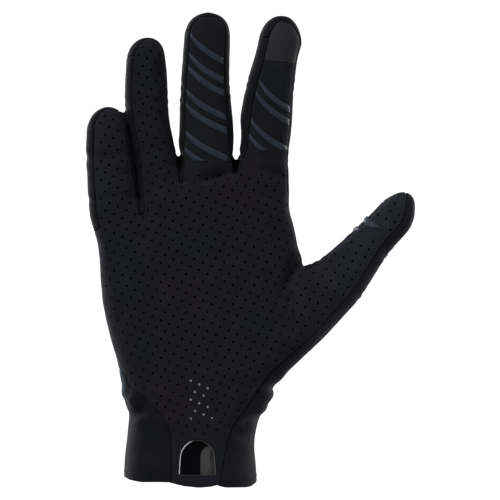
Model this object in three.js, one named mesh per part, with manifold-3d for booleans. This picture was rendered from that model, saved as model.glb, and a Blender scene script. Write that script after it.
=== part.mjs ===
import * as THREE from 'three';
import { mergeVertices } from 'three/addons/utils/BufferGeometryUtils.js';
import Module from 'manifold-3d';

const wasm = await Module();
wasm.setup();

// Right cycling glove in millimetres, held open as if worn: fingers up, palm towards -Y,
// thumb towards +X, with the origin at the middle of the wrist opening, level with the hem.

// Cloth and clearances
const wall = 1.5;
const seamGap = 0.3;
const seatGap = 0.3;
const gripHeight = 0.7;
const labelThickness = 0.8;

// Cuff and hand, measured round the outside
const cuffWidth = 64;
const cuffDepth = 50;
const cuffLength = 36;
const palmWidth = 98;
const palmDepth = 36;
const palmLength = 124;

// Longest reach, width and depth of a finger
const fingerLength = 110;
const fingerWidth = 25;
const fingerDepth = 21.5;

// Tongue of the palm panel and its window
const tongueWidth = 23.5;
const tongueShift = 1.8;
const windowWidth = 18.5;
const windowHeight = 17.5;
const windowShift = 2.8;
const windowSill = 6;
const bindingWidth = 0.9;
const archTaper = 0.94;

// Labels inside the wrist
const careLabelWidth = 10.7;
const careLabelHeight = 19.4;
const careLabelShift = 4.4;
const careLabelFoot = 32.5;
const sizeLabelWidth = 12;
const sizeLabelHeight = 15.5;
const sizeLabelEdge = 4.2;
const sizeLabelFoot = 5;
const labelCorner = 1.5;

// Silicone grip bars
const gripWidth = 3;
const gripFall = 12;
const gripSag = 2;
const gripLeftInset = 0.5;
const gripRightInset = 1.1;
const gripFront = 1.5;

// Touch cap on the tip of the index finger
const capLength = 23;

// Seams: how far the front seam stays from the fingertips, and how far the gussets reach back
const tipInset = 1.2;
const gussetBack = 3.5;

// Fineness of the facets
const handSides = 28;
const digitSides = 12;
const domeRings = [0.38, 0.71, 0.92];
const archSteps = 12;
const barSteps = 5;

// Roundness of the sections: 2 is an ellipse, more is squarer
const handPower = 2.35;
const digitPower = 2.2;

// Helpers for cutting: reach past an edge, reach past the whole glove, least size, least growth
const reachPast = 3;
const far = 90;
const least = 0.5;
const hair = 0.001;

// Sections of the cuff: up in cuff lengths, the rest in cuff widths and depths
const cuffRows = [
  { up: -0.1, shift: -0.012, width: 1.01, depth: 1.0, lean: 0.0 },
  { up: 0.1, shift: -0.014, width: 1.0, depth: 1.0, lean: 0.0 },
  { up: 0.5, shift: -0.016, width: 0.97, depth: 0.95, lean: 0.0 },
  { up: 0.78, shift: 0.0, width: 0.97, depth: 0.93, lean: 0.0 },
  { up: 1.0, shift: 0.023, width: 1.0, depth: 0.93, lean: 0.0 },
];

// Sections of the hand: up in palm lengths above the cuff, the rest in palm widths and depths
const palmRows = [
  { up: 0.05, shift: 0.027, width: 0.715, depth: 1.3, lean: 0.0 },
  { up: 0.1, shift: 0.026, width: 0.735, depth: 1.28, lean: 0.0 },
  { up: 0.15, shift: 0.05, width: 0.81, depth: 1.23, lean: -0.01 },
  { up: 0.22, shift: 0.055, width: 0.855, depth: 1.16, lean: -0.03 },
  { up: 0.31, shift: 0.046, width: 0.896, depth: 1.09, lean: -0.05 },
  { up: 0.4, shift: 0.045, width: 0.95, depth: 1.02, lean: -0.05 },
  { up: 0.52, shift: 0.04, width: 0.98, depth: 0.94, lean: -0.03 },
  { up: 0.62, shift: 0.033, width: 0.985, depth: 0.88, lean: -0.01 },
  { up: 0.73, shift: 0.008, width: 0.985, depth: 0.81, lean: 0.0 },
  { up: 0.8, shift: -0.013, width: 0.98, depth: 0.72, lean: 0.0 },
  { up: 0.86, shift: 0.045, width: 0.83, depth: 0.64, lean: 0.0 },
  { up: 0.92, shift: 0.1, width: 0.7, depth: 0.55, lean: 0.0 },
  { up: 0.97, shift: 0.1, width: 0.66, depth: 0.36, lean: 0.0 },
];

// Digits: the root in palm widths and palm lengths, splay in degrees from upright, reach in finger
// lengths, width, round of the tip and the insets from outline to seam in finger widths, and depth,
// curl of the tip over the palm and place in front of the hand in finger depths. The rows give shares
// of the digit's own reach, width and depth.
const digitTable = [
  {
    name: 'pinky', rootAcross: -0.366, rootUp: 0.636, reach: 0.6327, splay: -4.6, forward: 0.0698,
    width: 0.96, depth: 0.8837, tipRound: 0.44, curl: 0.2326, leftInset: 0.136, rightInset: 0.02,
    rows: [
      { at: 0.0, side: 0.04, width: 0.76, depth: 1.0 },
      { at: 0.245, side: 0.0, width: 1.0, depth: 1.0 },
      { at: 0.4, side: -0.02, width: 0.98, depth: 1.0 },
      { at: 0.55, side: -0.03, width: 0.95, depth: 0.96 },
      { at: 0.71, side: -0.025, width: 0.9, depth: 0.92 },
      { at: 0.84, side: -0.02, width: 0.83, depth: 0.86 },
    ],
  },
  {
    name: 'ring', rootAcross: -0.134, rootUp: 0.676, reach: 0.8964, splay: -5.35, forward: 0,
    width: 0.82, depth: 0.9302, tipRound: 0.42, curl: 0.2791, leftInset: 0.128, rightInset: 0.02,
    rows: [
      { at: 0.0, side: 0.0, width: 0.95, depth: 1.0 },
      { at: 0.2, side: 0.04, width: 0.95, depth: 1.0 },
      { at: 0.395, side: -0.01, width: 0.97, depth: 1.0 },
      { at: 0.494, side: -0.09, width: 0.96, depth: 0.98 },
      { at: 0.6, side: -0.14, width: 0.98, depth: 0.96 },
      { at: 0.72, side: -0.12, width: 1.02, depth: 0.93 },
      { at: 0.84, side: -0.075, width: 0.95, depth: 0.88 },
      { at: 0.9, side: -0.06, width: 0.88, depth: 0.84 },
    ],
  },
  {
    name: 'middle', rootAcross: 0.084, rootUp: 0.676, reach: 1.0027, splay: -0.2, forward: 0,
    width: 1, depth: 1, tipRound: 0.424, curl: 0.3023, leftInset: 0.104, rightInset: 0.084,
    rows: [
      { at: 0.0, side: 0.0, width: 1.0, depth: 1.0 },
      { at: 0.176, side: 0.015, width: 1.03, depth: 1.0 },
      { at: 0.31, side: -0.01, width: 1.04, depth: 1.0 },
      { at: 0.404, side: -0.06, width: 1.05, depth: 0.99 },
      { at: 0.483, side: -0.04, width: 1.03, depth: 0.97 },
      { at: 0.59, side: -0.06, width: 0.99, depth: 0.95 },
      { at: 0.7, side: -0.065, width: 0.93, depth: 0.91 },
      { at: 0.8, side: -0.045, width: 0.89, depth: 0.87 },
      { at: 0.9, side: -0.02, width: 0.88, depth: 0.83 },
    ],
  },
  {
    name: 'index', rootAcross: 0.347, rootUp: 0.676, reach: 0.9945, splay: 5.3, forward: 0,
    width: 0.98, depth: 1, tipRound: 0.56, curl: 0.2791, leftInset: 0.184, rightInset: 0.02,
    rows: [
      { at: 0.0, side: 0.0, width: 1.0, depth: 1.0 },
      { at: 0.18, side: -0.065, width: 1.04, depth: 1.0 },
      { at: 0.38, side: -0.14, width: 1.01, depth: 1.0 },
      { at: 0.49, side: -0.143, width: 1.02, depth: 0.98 },
      { at: 0.6, side: -0.14, width: 0.97, depth: 0.95 },
      { at: 0.7, side: -0.115, width: 0.91, depth: 0.91 },
      { at: 0.81, side: -0.06, width: 0.84, depth: 0.86 },
      { at: 0.87, side: -0.02, width: 0.84, depth: 0.83 },
    ],
  },
  {
    name: 'thumb', rootAcross: 0.388, rootUp: 0.177, reach: 0.9773, splay: 38.1, forward: 0.2791,
    width: 1.12, depth: 1.3953, tipRound: 0.52, curl: 0.4186, leftInset: 0.02, rightInset: 0.2,
    rows: [
      { at: 0.0, side: 0.0, width: 0.5, depth: 0.62 },
      { at: 0.13, side: -0.07, width: 0.82, depth: 0.86 },
      { at: 0.26, side: -0.125, width: 1.07, depth: 1.0 },
      { at: 0.42, side: -0.085, width: 1.07, depth: 0.93 },
      { at: 0.49, side: -0.02, width: 0.985, depth: 0.88 },
      { at: 0.61, side: 0.015, width: 0.83, depth: 0.78 },
      { at: 0.74, side: 0.04, width: 0.7, depth: 0.68 },
      { at: 0.85, side: 0.075, width: 0.66, depth: 0.63 },
    ],
  },
];

const digits = digitTable.map((row) => ({
  ...row,
  reach: row.reach * fingerLength,
  forward: row.forward * fingerDepth,
  width: row.width * fingerWidth,
  depth: row.depth * fingerDepth,
  tipRound: row.tipRound * fingerWidth,
  curl: row.curl * fingerDepth,
  leftInset: row.leftInset * fingerWidth,
  rightInset: row.rightInset * fingerWidth,
}));

// Sides of the tongue where it spreads into the palm: up in cuff lengths, edges in tongue widths
// from the middle of the tongue
const tongueRows = [
  { up: 0.08, left: -0.49, right: 0.5 },
  { up: 0.5, left: -0.495, right: 0.63 },
  { up: 0.74, left: -0.52, right: 0.71 },
  { up: 0.92, left: -0.63, right: 0.86 },
  { up: 1.17, left: -0.97, right: 1.14 },
  { up: 1.38, left: -1.38, right: 1.35 },
  { up: 1.57, left: -1.54, right: 1.58 },
  { up: 1.7, left: -2.3, right: 1.75 },
];

// Feet of the finger gussets on the front, in palm widths and palm lengths
const forkRows = [
  { across: -0.252, up: 0.774 },
  { across: -0.05, up: 0.898 },
  { across: 0.217, up: 0.93 },
];

// Sides of the palm panel between the tongue and the forks, in palm widths and palm lengths
const thumbSideRows = [
  { across: 0.44, up: 0.23 },
  { across: 0.47, up: 0.5 },
  { across: 0.57, up: 0.57 },
  { across: 0.53, up: 0.83 },
  { across: 0.35, up: 0.93 },
];
const outerSideRows = [
  { across: -0.38, up: 0.766 },
  { across: -0.53, up: 0.684 },
  { across: -0.53, up: 0.3 },
];

// Foot of a gusset round its fork, in palm widths and palm lengths from the fork
const gussetFootRows = [
  { across: 0, up: 0 },
  { across: 0.06, up: 0.09 },
  { across: 0, up: 0.16 },
  { across: -0.06, up: 0.09 },
];

// Gusset along a finger: its top below the fingertip in tip rounds, its inner side in half widths
// of the finger, and the middle of its head in finger widths
const gussetTop = 0.8;
const gussetInner = 0.72;
const gussetHead = 0.15;

// Middle of the hand: where the fingers start to lean, how far up that runs, where the thumb takes
// over and where it ends, in palm lengths above the cuff and in palm widths, and its share of curl
const knuckleUp = 0.75;
const fingerRun = 0.6;
const thumbFrom = 0.46;
const thumbTo = 0.62;
const thumbEndFrom = 0.847;
const thumbEndTo = 0.992;
const thumbCurlShare = 0.6;

// Lowest edge of the cuff, seen from the front: across and up in cuff widths
const hemRows = [
  { across: -0.7, up: 0.08 },
  { across: -0.48, up: 0.05 },
  { across: -0.15, up: 0.042 },
  { across: 0.21, up: 0.012 },
  { across: 0.7, up: 0.0 },
];

// Grip bars: the place of each bar's pointed end, as a share of its finger's reach, and the
// lowest place that a bar may come to
const middleGrips = [0.911, 0.826, 0.77, 0.664, 0.604, 0.482, 0.409];
const indexGrips = [0.711, 0.655, 0.533, 0.466];
const middleGripFoot = 0.346;
const indexGripFoot = 0.396;

// A bar's width from its pointed end on: start and gain in grip widths, and the skew of its sag
const gripStart = 0.35;
const gripGain = 1.3;
const gripSkew = 0.8;

// Bars over the edge of the thumb: along its reach and across its width
const thumbGrips = [
  [[0.793, -0.36], [0.83, -0.35], [0.806, -0.02], [0.78, -0.18]],
  [[0.721, -0.36], [0.75, -0.35], [0.752, -0.16]],
];

// Smooth value of one column of a table, through its rows
function column(rows, key, name, place) {
  const last = rows.length - 1;
  let i = 0;
  while (i < last - 1 && place > rows[i + 1][key]) i += 1;
  const a = rows[i];
  const b = rows[i + 1];
  const before = rows[Math.max(i - 1, 0)];
  const after = rows[Math.min(i + 2, last)];
  const span = b[key] - a[key];
  const t = THREE.MathUtils.clamp((place - a[key]) / span, 0, 1);
  const slopeA = (b[name] - before[name]) / (b[key] - before[key]);
  const slopeB = (after[name] - a[name]) / (after[key] - a[key]);
  const t2 = t * t;
  const t3 = t2 * t;
  return (2 * t3 - 3 * t2 + 1) * a[name] + (t3 - 2 * t2 + t) * span * slopeA
    + (3 * t2 - 2 * t3) * b[name] + (t3 - t2) * span * slopeB;
}

// Solids for joining and cutting

function solid(geometry) {
  const bare = geometry.index ? geometry.toNonIndexed() : geometry.clone();
  bare.deleteAttribute('normal');
  bare.deleteAttribute('uv');
  const merged = mergeVertices(bare, 1e-4);
  const mesh = new wasm.Mesh({
    numProp: 3,
    vertProperties: new Float32Array(merged.attributes.position.array),
    triVerts: new Uint32Array(merged.index.array),
  });
  mesh.merge();
  return new wasm.Manifold(mesh);
}

function geometryOf(manifold) {
  const mesh = manifold.getMesh();
  const geometry = new THREE.BufferGeometry();
  geometry.setAttribute('position', new THREE.BufferAttribute(mesh.vertProperties, 3));
  geometry.setIndex(new THREE.BufferAttribute(mesh.triVerts, 1));
  geometry.computeVertexNormals();
  return geometry;
}

const join = (parts) => parts.reduce((sum, part) => sum.add(part));

// The piece itself, without the crumbs that a cut can leave at the ends of a seam
function withoutCrumbs(manifold) {
  const bodies = manifold.decompose();
  return bodies.reduce((most, body) => (body.volume() > most.volume() ? body : most));
}

// Closed skin over rings of points, with a point at each end
function loft(rings, start, end) {
  const sides = rings[0].length;
  const points = [start, ...rings.flat(), end];
  const faces = [];
  const corner = (ring, side) => 1 + ring * sides + (side % sides);
  for (let side = 0; side < sides; side += 1) {
    faces.push(0, corner(0, side + 1), corner(0, side));
    faces.push(points.length - 1, corner(rings.length - 1, side), corner(rings.length - 1, side + 1));
    for (let ring = 0; ring < rings.length - 1; ring += 1) {
      faces.push(corner(ring, side), corner(ring, side + 1), corner(ring + 1, side + 1));
      faces.push(corner(ring, side), corner(ring + 1, side + 1), corner(ring + 1, side));
    }
  }
  const geometry = new THREE.BufferGeometry().setFromPoints(points);
  geometry.setIndex(faces);
  return solid(geometry);
}

// Rounded section: an ellipse with its sides pushed a little outwards
function sectionRing(centre, across, over, halfWidth, halfDepth, sides, power) {
  const ring = [];
  for (let side = 0; side < sides; side += 1) {
    const turn = (side / sides) * 2 * Math.PI;
    const push = (value) => Math.sign(value) * Math.abs(value) ** (2 / power);
    ring.push(centre.clone()
      .addScaledVector(across, push(Math.cos(turn)) * halfWidth)
      .addScaledVector(over, push(Math.sin(turn)) * halfDepth));
  }
  return ring;
}

// Solid outline seen from the front, running along Y
function prism(outline) {
  const shape = new THREE.Shape(outline.map(([x, z]) => new THREE.Vector2(x, z)));
  const geometry = new THREE.ExtrudeGeometry(shape, { depth: 2 * far, bevelEnabled: false });
  geometry.rotateX(Math.PI / 2);
  geometry.translate(0, far, 0);
  return solid(geometry);
}

// Outline moved outwards by a small distance
function grow(outline, distance) {
  const points = outline.map(([x, z]) => new THREE.Vector2(x, z));
  const turn = THREE.ShapeUtils.isClockWise(points) ? 1 : -1;
  const count = points.length;
  const normal = (a, b) => new THREE.Vector2(a.y - b.y, b.x - a.x).normalize().multiplyScalar(turn);
  return points.map((point, i) => {
    const one = normal(points[(i + count - 1) % count], point);
    const two = normal(point, points[(i + 1) % count]);
    const mean = one.clone().add(two).normalize();
    const reach = distance / Math.max(mean.dot(one), 0.5);
    return [point.x + mean.x * reach, point.y + mean.y * reach];
  });
}

// Everything in front of a bent surface, whose y is given for each x and z
function inFrontOf(surface) {
  const columns = 6;
  const rows = 11;
  const wide = 2.4 * palmWidth;
  const tall = 1.6 * (cuffLength + palmLength);
  const below = 0.05 * tall;
  const geometry = new THREE.BoxGeometry(wide, 2 * far, tall, columns, 1, rows);
  geometry.translate(0.1 * palmWidth, 0, tall / 2 - below);
  const places = geometry.attributes.position;
  for (let i = 0; i < places.count; i += 1) {
    if (places.getY(i) > 0) places.setY(i, surface(places.getX(i), places.getZ(i)));
  }
  return solid(geometry);
}

// Hand: one loft from below the hem to between the fingers
const upX = new THREE.Vector3(1, 0, 0);
const upY = new THREE.Vector3(0, 1, 0);

function handSections() {
  const low = cuffRows.map((row) => ({
    z: row.up * cuffLength,
    x: row.shift * cuffWidth,
    y: row.lean * cuffDepth,
    halfWidth: row.width * cuffWidth / 2,
    halfDepth: row.depth * cuffDepth / 2,
  }));
  const high = palmRows.map((row) => ({
    z: cuffLength + row.up * palmLength,
    x: row.shift * palmWidth,
    y: row.lean * palmDepth,
    halfWidth: row.width * palmWidth / 2,
    halfDepth: row.depth * palmDepth / 2,
  }));
  return [...low, ...high];
}

function handSolid(inset) {
  const sections = handSections();
  const rings = sections.map((row) => {
    const centre = new THREE.Vector3(row.x, row.y, row.z);
    return sectionRing(centre, upX, upY, row.halfWidth - inset, row.halfDepth - inset, handSides, handPower);
  });
  const foot = sections[0];
  const head = sections[sections.length - 1];
  const drop = inset > 0 ? cuffLength : 0;
  const start = new THREE.Vector3(foot.x, foot.y, foot.z - drop);
  if (drop) {
    rings.unshift(rings[0].map((point) => new THREE.Vector3(point.x, point.y, start.z)));
  }
  const end = new THREE.Vector3(head.x, head.y, cuffLength + palmLength - inset);
  return loft(rings, start, end);
}

// Digits: spine, frame and size at a share of the reach

function digitFrame(digit) {
  const root = new THREE.Vector3(
    digit.rootAcross * palmWidth,
    -digit.forward,
    cuffLength + digit.rootUp * palmLength,
  );
  const splay = THREE.MathUtils.degToRad(digit.splay);
  const along = new THREE.Vector3(Math.sin(splay), 0, Math.cos(splay));
  const across = new THREE.Vector3(Math.cos(splay), 0, -Math.sin(splay));
  return { root, along, across };
}

function digitAt(digit, at) {
  const { root, along, across } = digitFrame(digit);
  const side = column(digit.rows, 'at', 'side', at);
  const domeStart = 1 - digit.tipRound / digit.reach;
  const intoDome = THREE.MathUtils.clamp((at - domeStart) / (1 - domeStart), 0, 1);
  const round = Math.sqrt(1 - intoDome * intoDome);
  const settle = 1 - intoDome;
  const centre = root.clone()
    .addScaledVector(along, at * digit.reach)
    .addScaledVector(across, side * digit.width * settle)
    .addScaledVector(upY, -digit.curl * at * at);
  return {
    centre,
    across,
    halfWidth: column(digit.rows, 'at', 'width', at) * digit.width / 2 * round,
    halfDepth: column(digit.rows, 'at', 'depth', at) * digit.depth / 2 * round,
  };
}

function digitSteps(digit) {
  const domeStart = 1 - digit.tipRound / digit.reach;
  const body = digit.rows.map((row) => row.at).filter((at) => at < domeStart - 0.01);
  return [...body, domeStart, ...domeRings.map((share) => domeStart + share * (1 - domeStart))];
}

function digitSolid(digit, inset) {
  const squeeze = 1 - inset / digit.reach;
  const rings = digitSteps(digit).map((at) => {
    const here = digitAt(digit, at);
    const centre = digitAt(digit, at * squeeze).centre;
    const halfWidth = Math.max(here.halfWidth - inset, least);
    const halfDepth = Math.max(here.halfDepth - inset, least);
    return sectionRing(centre, here.across, upY, halfWidth, halfDepth, digitSides, digitPower);
  });
  const start = digitAt(digit, 0).centre.addScaledVector(digitFrame(digit).along, -reachPast);
  const end = digitAt(digit, squeeze).centre;
  return loft(rings, start, end);
}

// Edge of a digit's outline at a share of the reach, moved by an inset; side is -1 or 1
function digitEdge(digit, at, side, inset) {
  const here = digitAt(digit, at);
  const reach = Math.max(here.halfWidth - inset, least);
  return [here.centre.x + side * here.across.x * reach, here.centre.z + side * here.across.z * reach];
}

// Flat outline of a digit's front, inside its two side seams
function digitStrip(digit) {
  const steps = digitSteps(digit);
  const left = steps.map((at) => digitEdge(digit, at, -1, digit.leftInset));
  const right = steps.map((at) => digitEdge(digit, at, 1, digit.rightInset));
  const tip = digitAt(digit, 1 - tipInset / digit.reach).centre;
  return [...left, [tip.x, tip.z], ...right.reverse()];
}

// Half of a digit, from its spine past its left or right edge, for a gusset
function digitHalf(digit, side) {
  const top = 1 - gussetTop * digit.tipRound / digit.reach;
  const steps = digitSteps(digit).filter((at) => at < top);
  const spine = steps.map((at) => digitEdge(digit, at, side, gussetInner * digit.width / 2));
  const edge = steps.map((at) => digitEdge(digit, at, side, -reachPast));
  const head = digitAt(digit, top).centre;
  return [...spine, [head.x + side * gussetHead * digit.width, head.z], ...edge.reverse()];
}

// Surfaces between front and back: they follow the middle of the hand and of the thumb
const thumb = digits.find((digit) => digit.name === 'thumb');

function middleSurface(offset) {
  const fingers = digits.filter((digit) => digit !== thumb);
  const fingerCurl = Math.max(...fingers.map((digit) => digit.curl));
  const thumbLean = -thumb.forward - thumb.curl * thumbCurlShare;
  return inFrontOf((x, z) => {
    const up = (z - cuffLength) / palmLength;
    const bend = -fingerCurl * Math.max(0, (up - knuckleUp) / fingerRun) ** 2;
    const out = THREE.MathUtils.smoothstep(x, thumbFrom * palmWidth, thumbTo * palmWidth);
    const belowFingers = 1 - THREE.MathUtils.smoothstep(up, thumbEndFrom, thumbEndTo);
    return THREE.MathUtils.lerp(bend, thumbLean, out * belowFingers) + offset;
  });
}

// Place on the palm for a row in palm widths and palm lengths
const onPalm = (row) => [row.across * palmWidth, cuffLength + row.up * palmLength];

// Palm panel seen from the front: palm and tongue, four finger fronts and the thumb front
function frontPrism(extra) {
  const tongue = tongueRows.map((row) => ({
    z: row.up * cuffLength,
    left: tongueShift + row.left * tongueWidth,
    right: tongueShift + row.right * tongueWidth,
  }));
  const outline = [
    [tongueShift, 0],
    ...tongue.map((row) => [row.right, row.z]),
    ...thumbSideRows.map(onPalm),
    ...[...forkRows].reverse().map(onPalm),
    ...outerSideRows.map(onPalm),
    ...[...tongue].reverse().map((row) => [row.left, row.z]),
  ];
  return join([outline, ...digits.map(digitStrip)].map((points) => prism(grow(points, extra))));
}

const frontZone = frontPrism(hair).intersect(middleSurface(0));
const frontZoneGrown = frontPrism(seamGap).intersect(middleSurface(seamGap));

// Shell of cloth round the hollow for the hand
const outside = join([handSolid(0), ...digits.map((digit) => digitSolid(digit, 0))]);
const hollow = join([handSolid(wall), ...digits.map((digit) => digitSolid(digit, wall))]);
const hemOutline = [
  ...hemRows.map((row) => [row.across * cuffWidth, row.up * cuffWidth]),
  [2 * far, 0],
  [2 * far, 4 * far],
  [-far, 4 * far],
  [-far, hemRows[0].up * cuffWidth],
];
const shell = outside.subtract(hollow);
const hemmedShell = shell.intersect(prism(hemOutline));

// Gussets between neighbouring fingers
const gussetNames = ['gusset_pinky_ring', 'gusset_ring_middle', 'gusset_middle_index'];

function gussetPrism(i, extra) {
  const halves = [digitHalf(digits[i], 1), digitHalf(digits[i + 1], -1)];
  const fork = forkRows[i];
  const foot = gussetFootRows.map((row) => onPalm({
    across: fork.across + row.across,
    up: fork.up + row.up,
  }));
  return join([...halves, foot].map((points) => prism(grow(points, extra))));
}

const backEdge = middleSurface(gussetBack);
const backEdgeGrown = middleSurface(gussetBack + seamGap);
const above = (z) => prism([[-far, z], [2 * far, z], [2 * far, 4 * far], [-far, 4 * far]]);
const aboveForks = (i) => above(onPalm(forkRows[i])[1]);
const gussetZones = gussetNames.map((name, i) => gussetPrism(i, hair)
  .intersect(backEdge).intersect(aboveForks(i)).subtract(frontZoneGrown));
const gussetZonesGrown = gussetNames.map((name, i) => gussetPrism(i, seamGap)
  .intersect(backEdgeGrown).intersect(aboveForks(i)));

// Cuff below the cuff seam, all round but for the tongue
const cuffBand = (top) => prism([[-far, -far], [far, -far], [far, top], [-far, top]]);

// Touch cap over the index fingertip
const index = digits.find((digit) => digit.name === 'index');
const capSeam = 1 - capLength / index.reach;

function capPrism(extra) {
  const { along } = digitFrame(index);
  const left = digitEdge(index, capSeam, -1, -reachPast);
  const right = digitEdge(index, capSeam, 1, -reachPast);
  const rise = 2 * capLength;
  const up = ([x, z]) => [x + along.x * rise, z + along.z * rise];
  return prism(grow([left, right, up(right), up(left)], extra));
}

// Window in the tongue: an arch on a straight sill
function arch(width, height, shift, foot) {
  const points = [[shift + width / 2, foot]];
  const rise = width / 2;
  const spring = foot + height - rise;
  for (let i = 0; i <= archSteps; i += 1) {
    const turn = (i / archSteps) * Math.PI;
    points.push([shift + Math.cos(turn) * rise * archTaper, spring + Math.sin(turn) * rise]);
  }
  points.push([shift - width / 2, foot]);
  return points;
}

const windowOutline = arch(windowWidth, windowHeight, windowShift, windowSill);
const front = prism([[-far, -far], [2 * far, -far], [2 * far, 3 * far], [-far, 3 * far]])
  .intersect(inFrontOf(() => 0));
const windowHole = prism(windowOutline).intersect(front);
const bindingOuter = prism(grow(windowOutline, -seamGap)).intersect(front);
const bindingInner = prism(grow(windowOutline, -seamGap - bindingWidth)).intersect(front);

// Main pieces of the glove
const pieces = new Map();
const frontCloth = shell.intersect(frontZone);
pieces.set('palm_panel', frontCloth.subtract(windowHole).subtract(capPrism(seamGap)));
pieces.set('touch_cap', frontCloth.intersect(capPrism(0)));
gussetNames.forEach((name, i) => {
  const before = gussetZonesGrown.slice(0, i);
  pieces.set(name, before.reduce((rest, zone) => rest.subtract(zone), shell.intersect(gussetZones[i])));
});
pieces.set('cuff', hemmedShell.intersect(cuffBand(cuffLength)).subtract(frontZoneGrown));
pieces.set('back_panel', hemmedShell.subtract(cuffBand(cuffLength + seamGap))
  .subtract(frontZoneGrown).subtract(join(gussetZonesGrown)));
pieces.set('window_binding', shell.intersect(bindingOuter).subtract(bindingInner));

// Labels: flat plates that follow the inside of the front wall
const lining = handSolid(wall + seatGap)
  .subtract(handSolid(wall + seatGap + labelThickness))
  .intersect(front);

function labelOutline(left, foot, width, height) {
  const right = left + width;
  const top = foot + height;
  return [
    [left, foot],
    [right, foot],
    [right, top - labelCorner],
    [right - labelCorner, top],
    [left + labelCorner, top],
    [left, top - labelCorner],
  ];
}

const careLabelEdge = careLabelShift - careLabelWidth / 2;
const careLabel = labelOutline(careLabelEdge, careLabelFoot, careLabelWidth, careLabelHeight);
const sizeLabel = labelOutline(sizeLabelEdge, sizeLabelFoot, sizeLabelWidth, sizeLabelHeight);
pieces.set('care_label', lining.intersect(prism(careLabel)));
pieces.set('size_label', lining.intersect(prism(sizeLabel)));

// Grip bars: raised strips that follow the front of a digit
function gripSkin(digit) {
  return digitSolid(digit, -seatGap - gripHeight).subtract(digitSolid(digit, -seatGap));
}

function barOutline(digit, at) {
  const left = digitEdge(digit, at, -1, digit.leftInset + gripLeftInset);
  const lower = at - gripFall / digit.reach;
  const right = digitEdge(digit, lower, 1, digit.rightInset + gripRightInset);
  const upper = [];
  const under = [];
  for (let i = 0; i <= barSteps; i += 1) {
    const t = i / barSteps;
    const x = THREE.MathUtils.lerp(left[0], right[0], t);
    const sag = gripSag * Math.sin(Math.PI * t ** gripSkew);
    const z = THREE.MathUtils.lerp(left[1], right[1], t) - sag;
    upper.push([x, z]);
    if (i > 0) under.push([x, z - gripWidth * Math.min(1, gripStart + t * gripGain)]);
  }
  return [...upper, ...under.reverse()];
}

function addBars(digit, prefix, places, foot) {
  const skin = gripSkin(digit)
    .intersect(middleSurface(-gripFront))
    .intersect(above(digitFrame(digit).root.z + foot * digit.reach));
  places.forEach((at, i) => {
    pieces.set(`${prefix}_${i + 1}`, skin.intersect(prism(barOutline(digit, at))));
  });
}

const middle = digits.find((digit) => digit.name === 'middle');
addBars(middle, 'middle_grip', middleGrips, middleGripFoot);
addBars(index, 'index_grip', indexGrips, indexGripFoot);

const thumbSkin = gripSkin(thumb).intersect(middleSurface(-seamGap));
thumbGrips.forEach((bar, i) => {
  const outline = bar.map(([at, side]) => {
    const here = digitAt(thumb, at);
    const out = side * thumb.width;
    return [here.centre.x + here.across.x * out, here.centre.z + here.across.z * out];
  });
  pieces.set(`thumb_grip_${i + 1}`, thumbSkin.intersect(prism(outline)));
});

// Finishes
const finishes = {
  palm_panel: { color: '#1c191f', roughness: 0.9, metalness: 0 },
  touch_cap: { color: '#2b2a2e', roughness: 0.85, metalness: 0 },
  gusset: { color: '#191c1d', roughness: 0.85, metalness: 0 },
  cuff: { color: '#1b2022', roughness: 0.9, metalness: 0 },
  back_panel: { color: '#1c2022', roughness: 0.88, metalness: 0 },
  window_binding: { color: '#d8d9dc', roughness: 0.6, metalness: 0 },
  care_label: { color: '#f2f2f2', roughness: 0.7, metalness: 0 },
  size_label: { color: '#5a5c5e', roughness: 0.6, metalness: 0 },
  grip: { color: '#2a3541', roughness: 0.35, metalness: 0 },
};

function finishOf(name) {
  if (name.includes('grip')) return finishes.grip;
  if (name.startsWith('gusset')) return finishes.gusset;
  return finishes[name];
}

const glove = new THREE.Group();
pieces.forEach((piece, name) => {
  const material = new THREE.MeshStandardMaterial(finishOf(name));
  const mesh = new THREE.Mesh(geometryOf(withoutCrumbs(piece)), material);
  mesh.name = name;
  glove.add(mesh);
});

export default glove;
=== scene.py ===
"""Right cycling glove with a perforated palm, held open as if worn, on a pale studio floor."""

import math
from functools import lru_cache

import bpy
import numpy as np
from bpy.props import FloatProperty, FloatVectorProperty, IntProperty, PointerProperty
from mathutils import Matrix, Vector, kdtree, noise
from mathutils.bvhtree import BVHTree


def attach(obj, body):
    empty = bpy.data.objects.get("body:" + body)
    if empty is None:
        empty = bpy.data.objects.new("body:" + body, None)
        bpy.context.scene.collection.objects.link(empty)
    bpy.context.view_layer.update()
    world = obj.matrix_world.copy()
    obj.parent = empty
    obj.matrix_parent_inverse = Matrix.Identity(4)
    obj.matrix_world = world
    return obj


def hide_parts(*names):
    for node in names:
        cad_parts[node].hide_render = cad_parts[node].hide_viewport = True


bl_info = {
    "name": "Cycling glove",
    "version": (1, 0, 0),
    "blender": (4, 5, 0),
    "location": "3D View > Sidebar > Glove",
    "description": "Makes a perforated cycling glove, piece by piece, over its solid frame",
    "category": "Add Mesh",
}

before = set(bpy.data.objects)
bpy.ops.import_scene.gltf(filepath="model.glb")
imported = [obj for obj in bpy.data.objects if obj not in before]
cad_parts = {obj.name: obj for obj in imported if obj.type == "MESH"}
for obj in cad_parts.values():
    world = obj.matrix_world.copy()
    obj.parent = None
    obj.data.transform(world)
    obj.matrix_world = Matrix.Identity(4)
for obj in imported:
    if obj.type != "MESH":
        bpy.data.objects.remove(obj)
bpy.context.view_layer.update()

# Shapes are worked out in millimetres and turned into metres when a mesh is made
MM = 0.001

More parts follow.
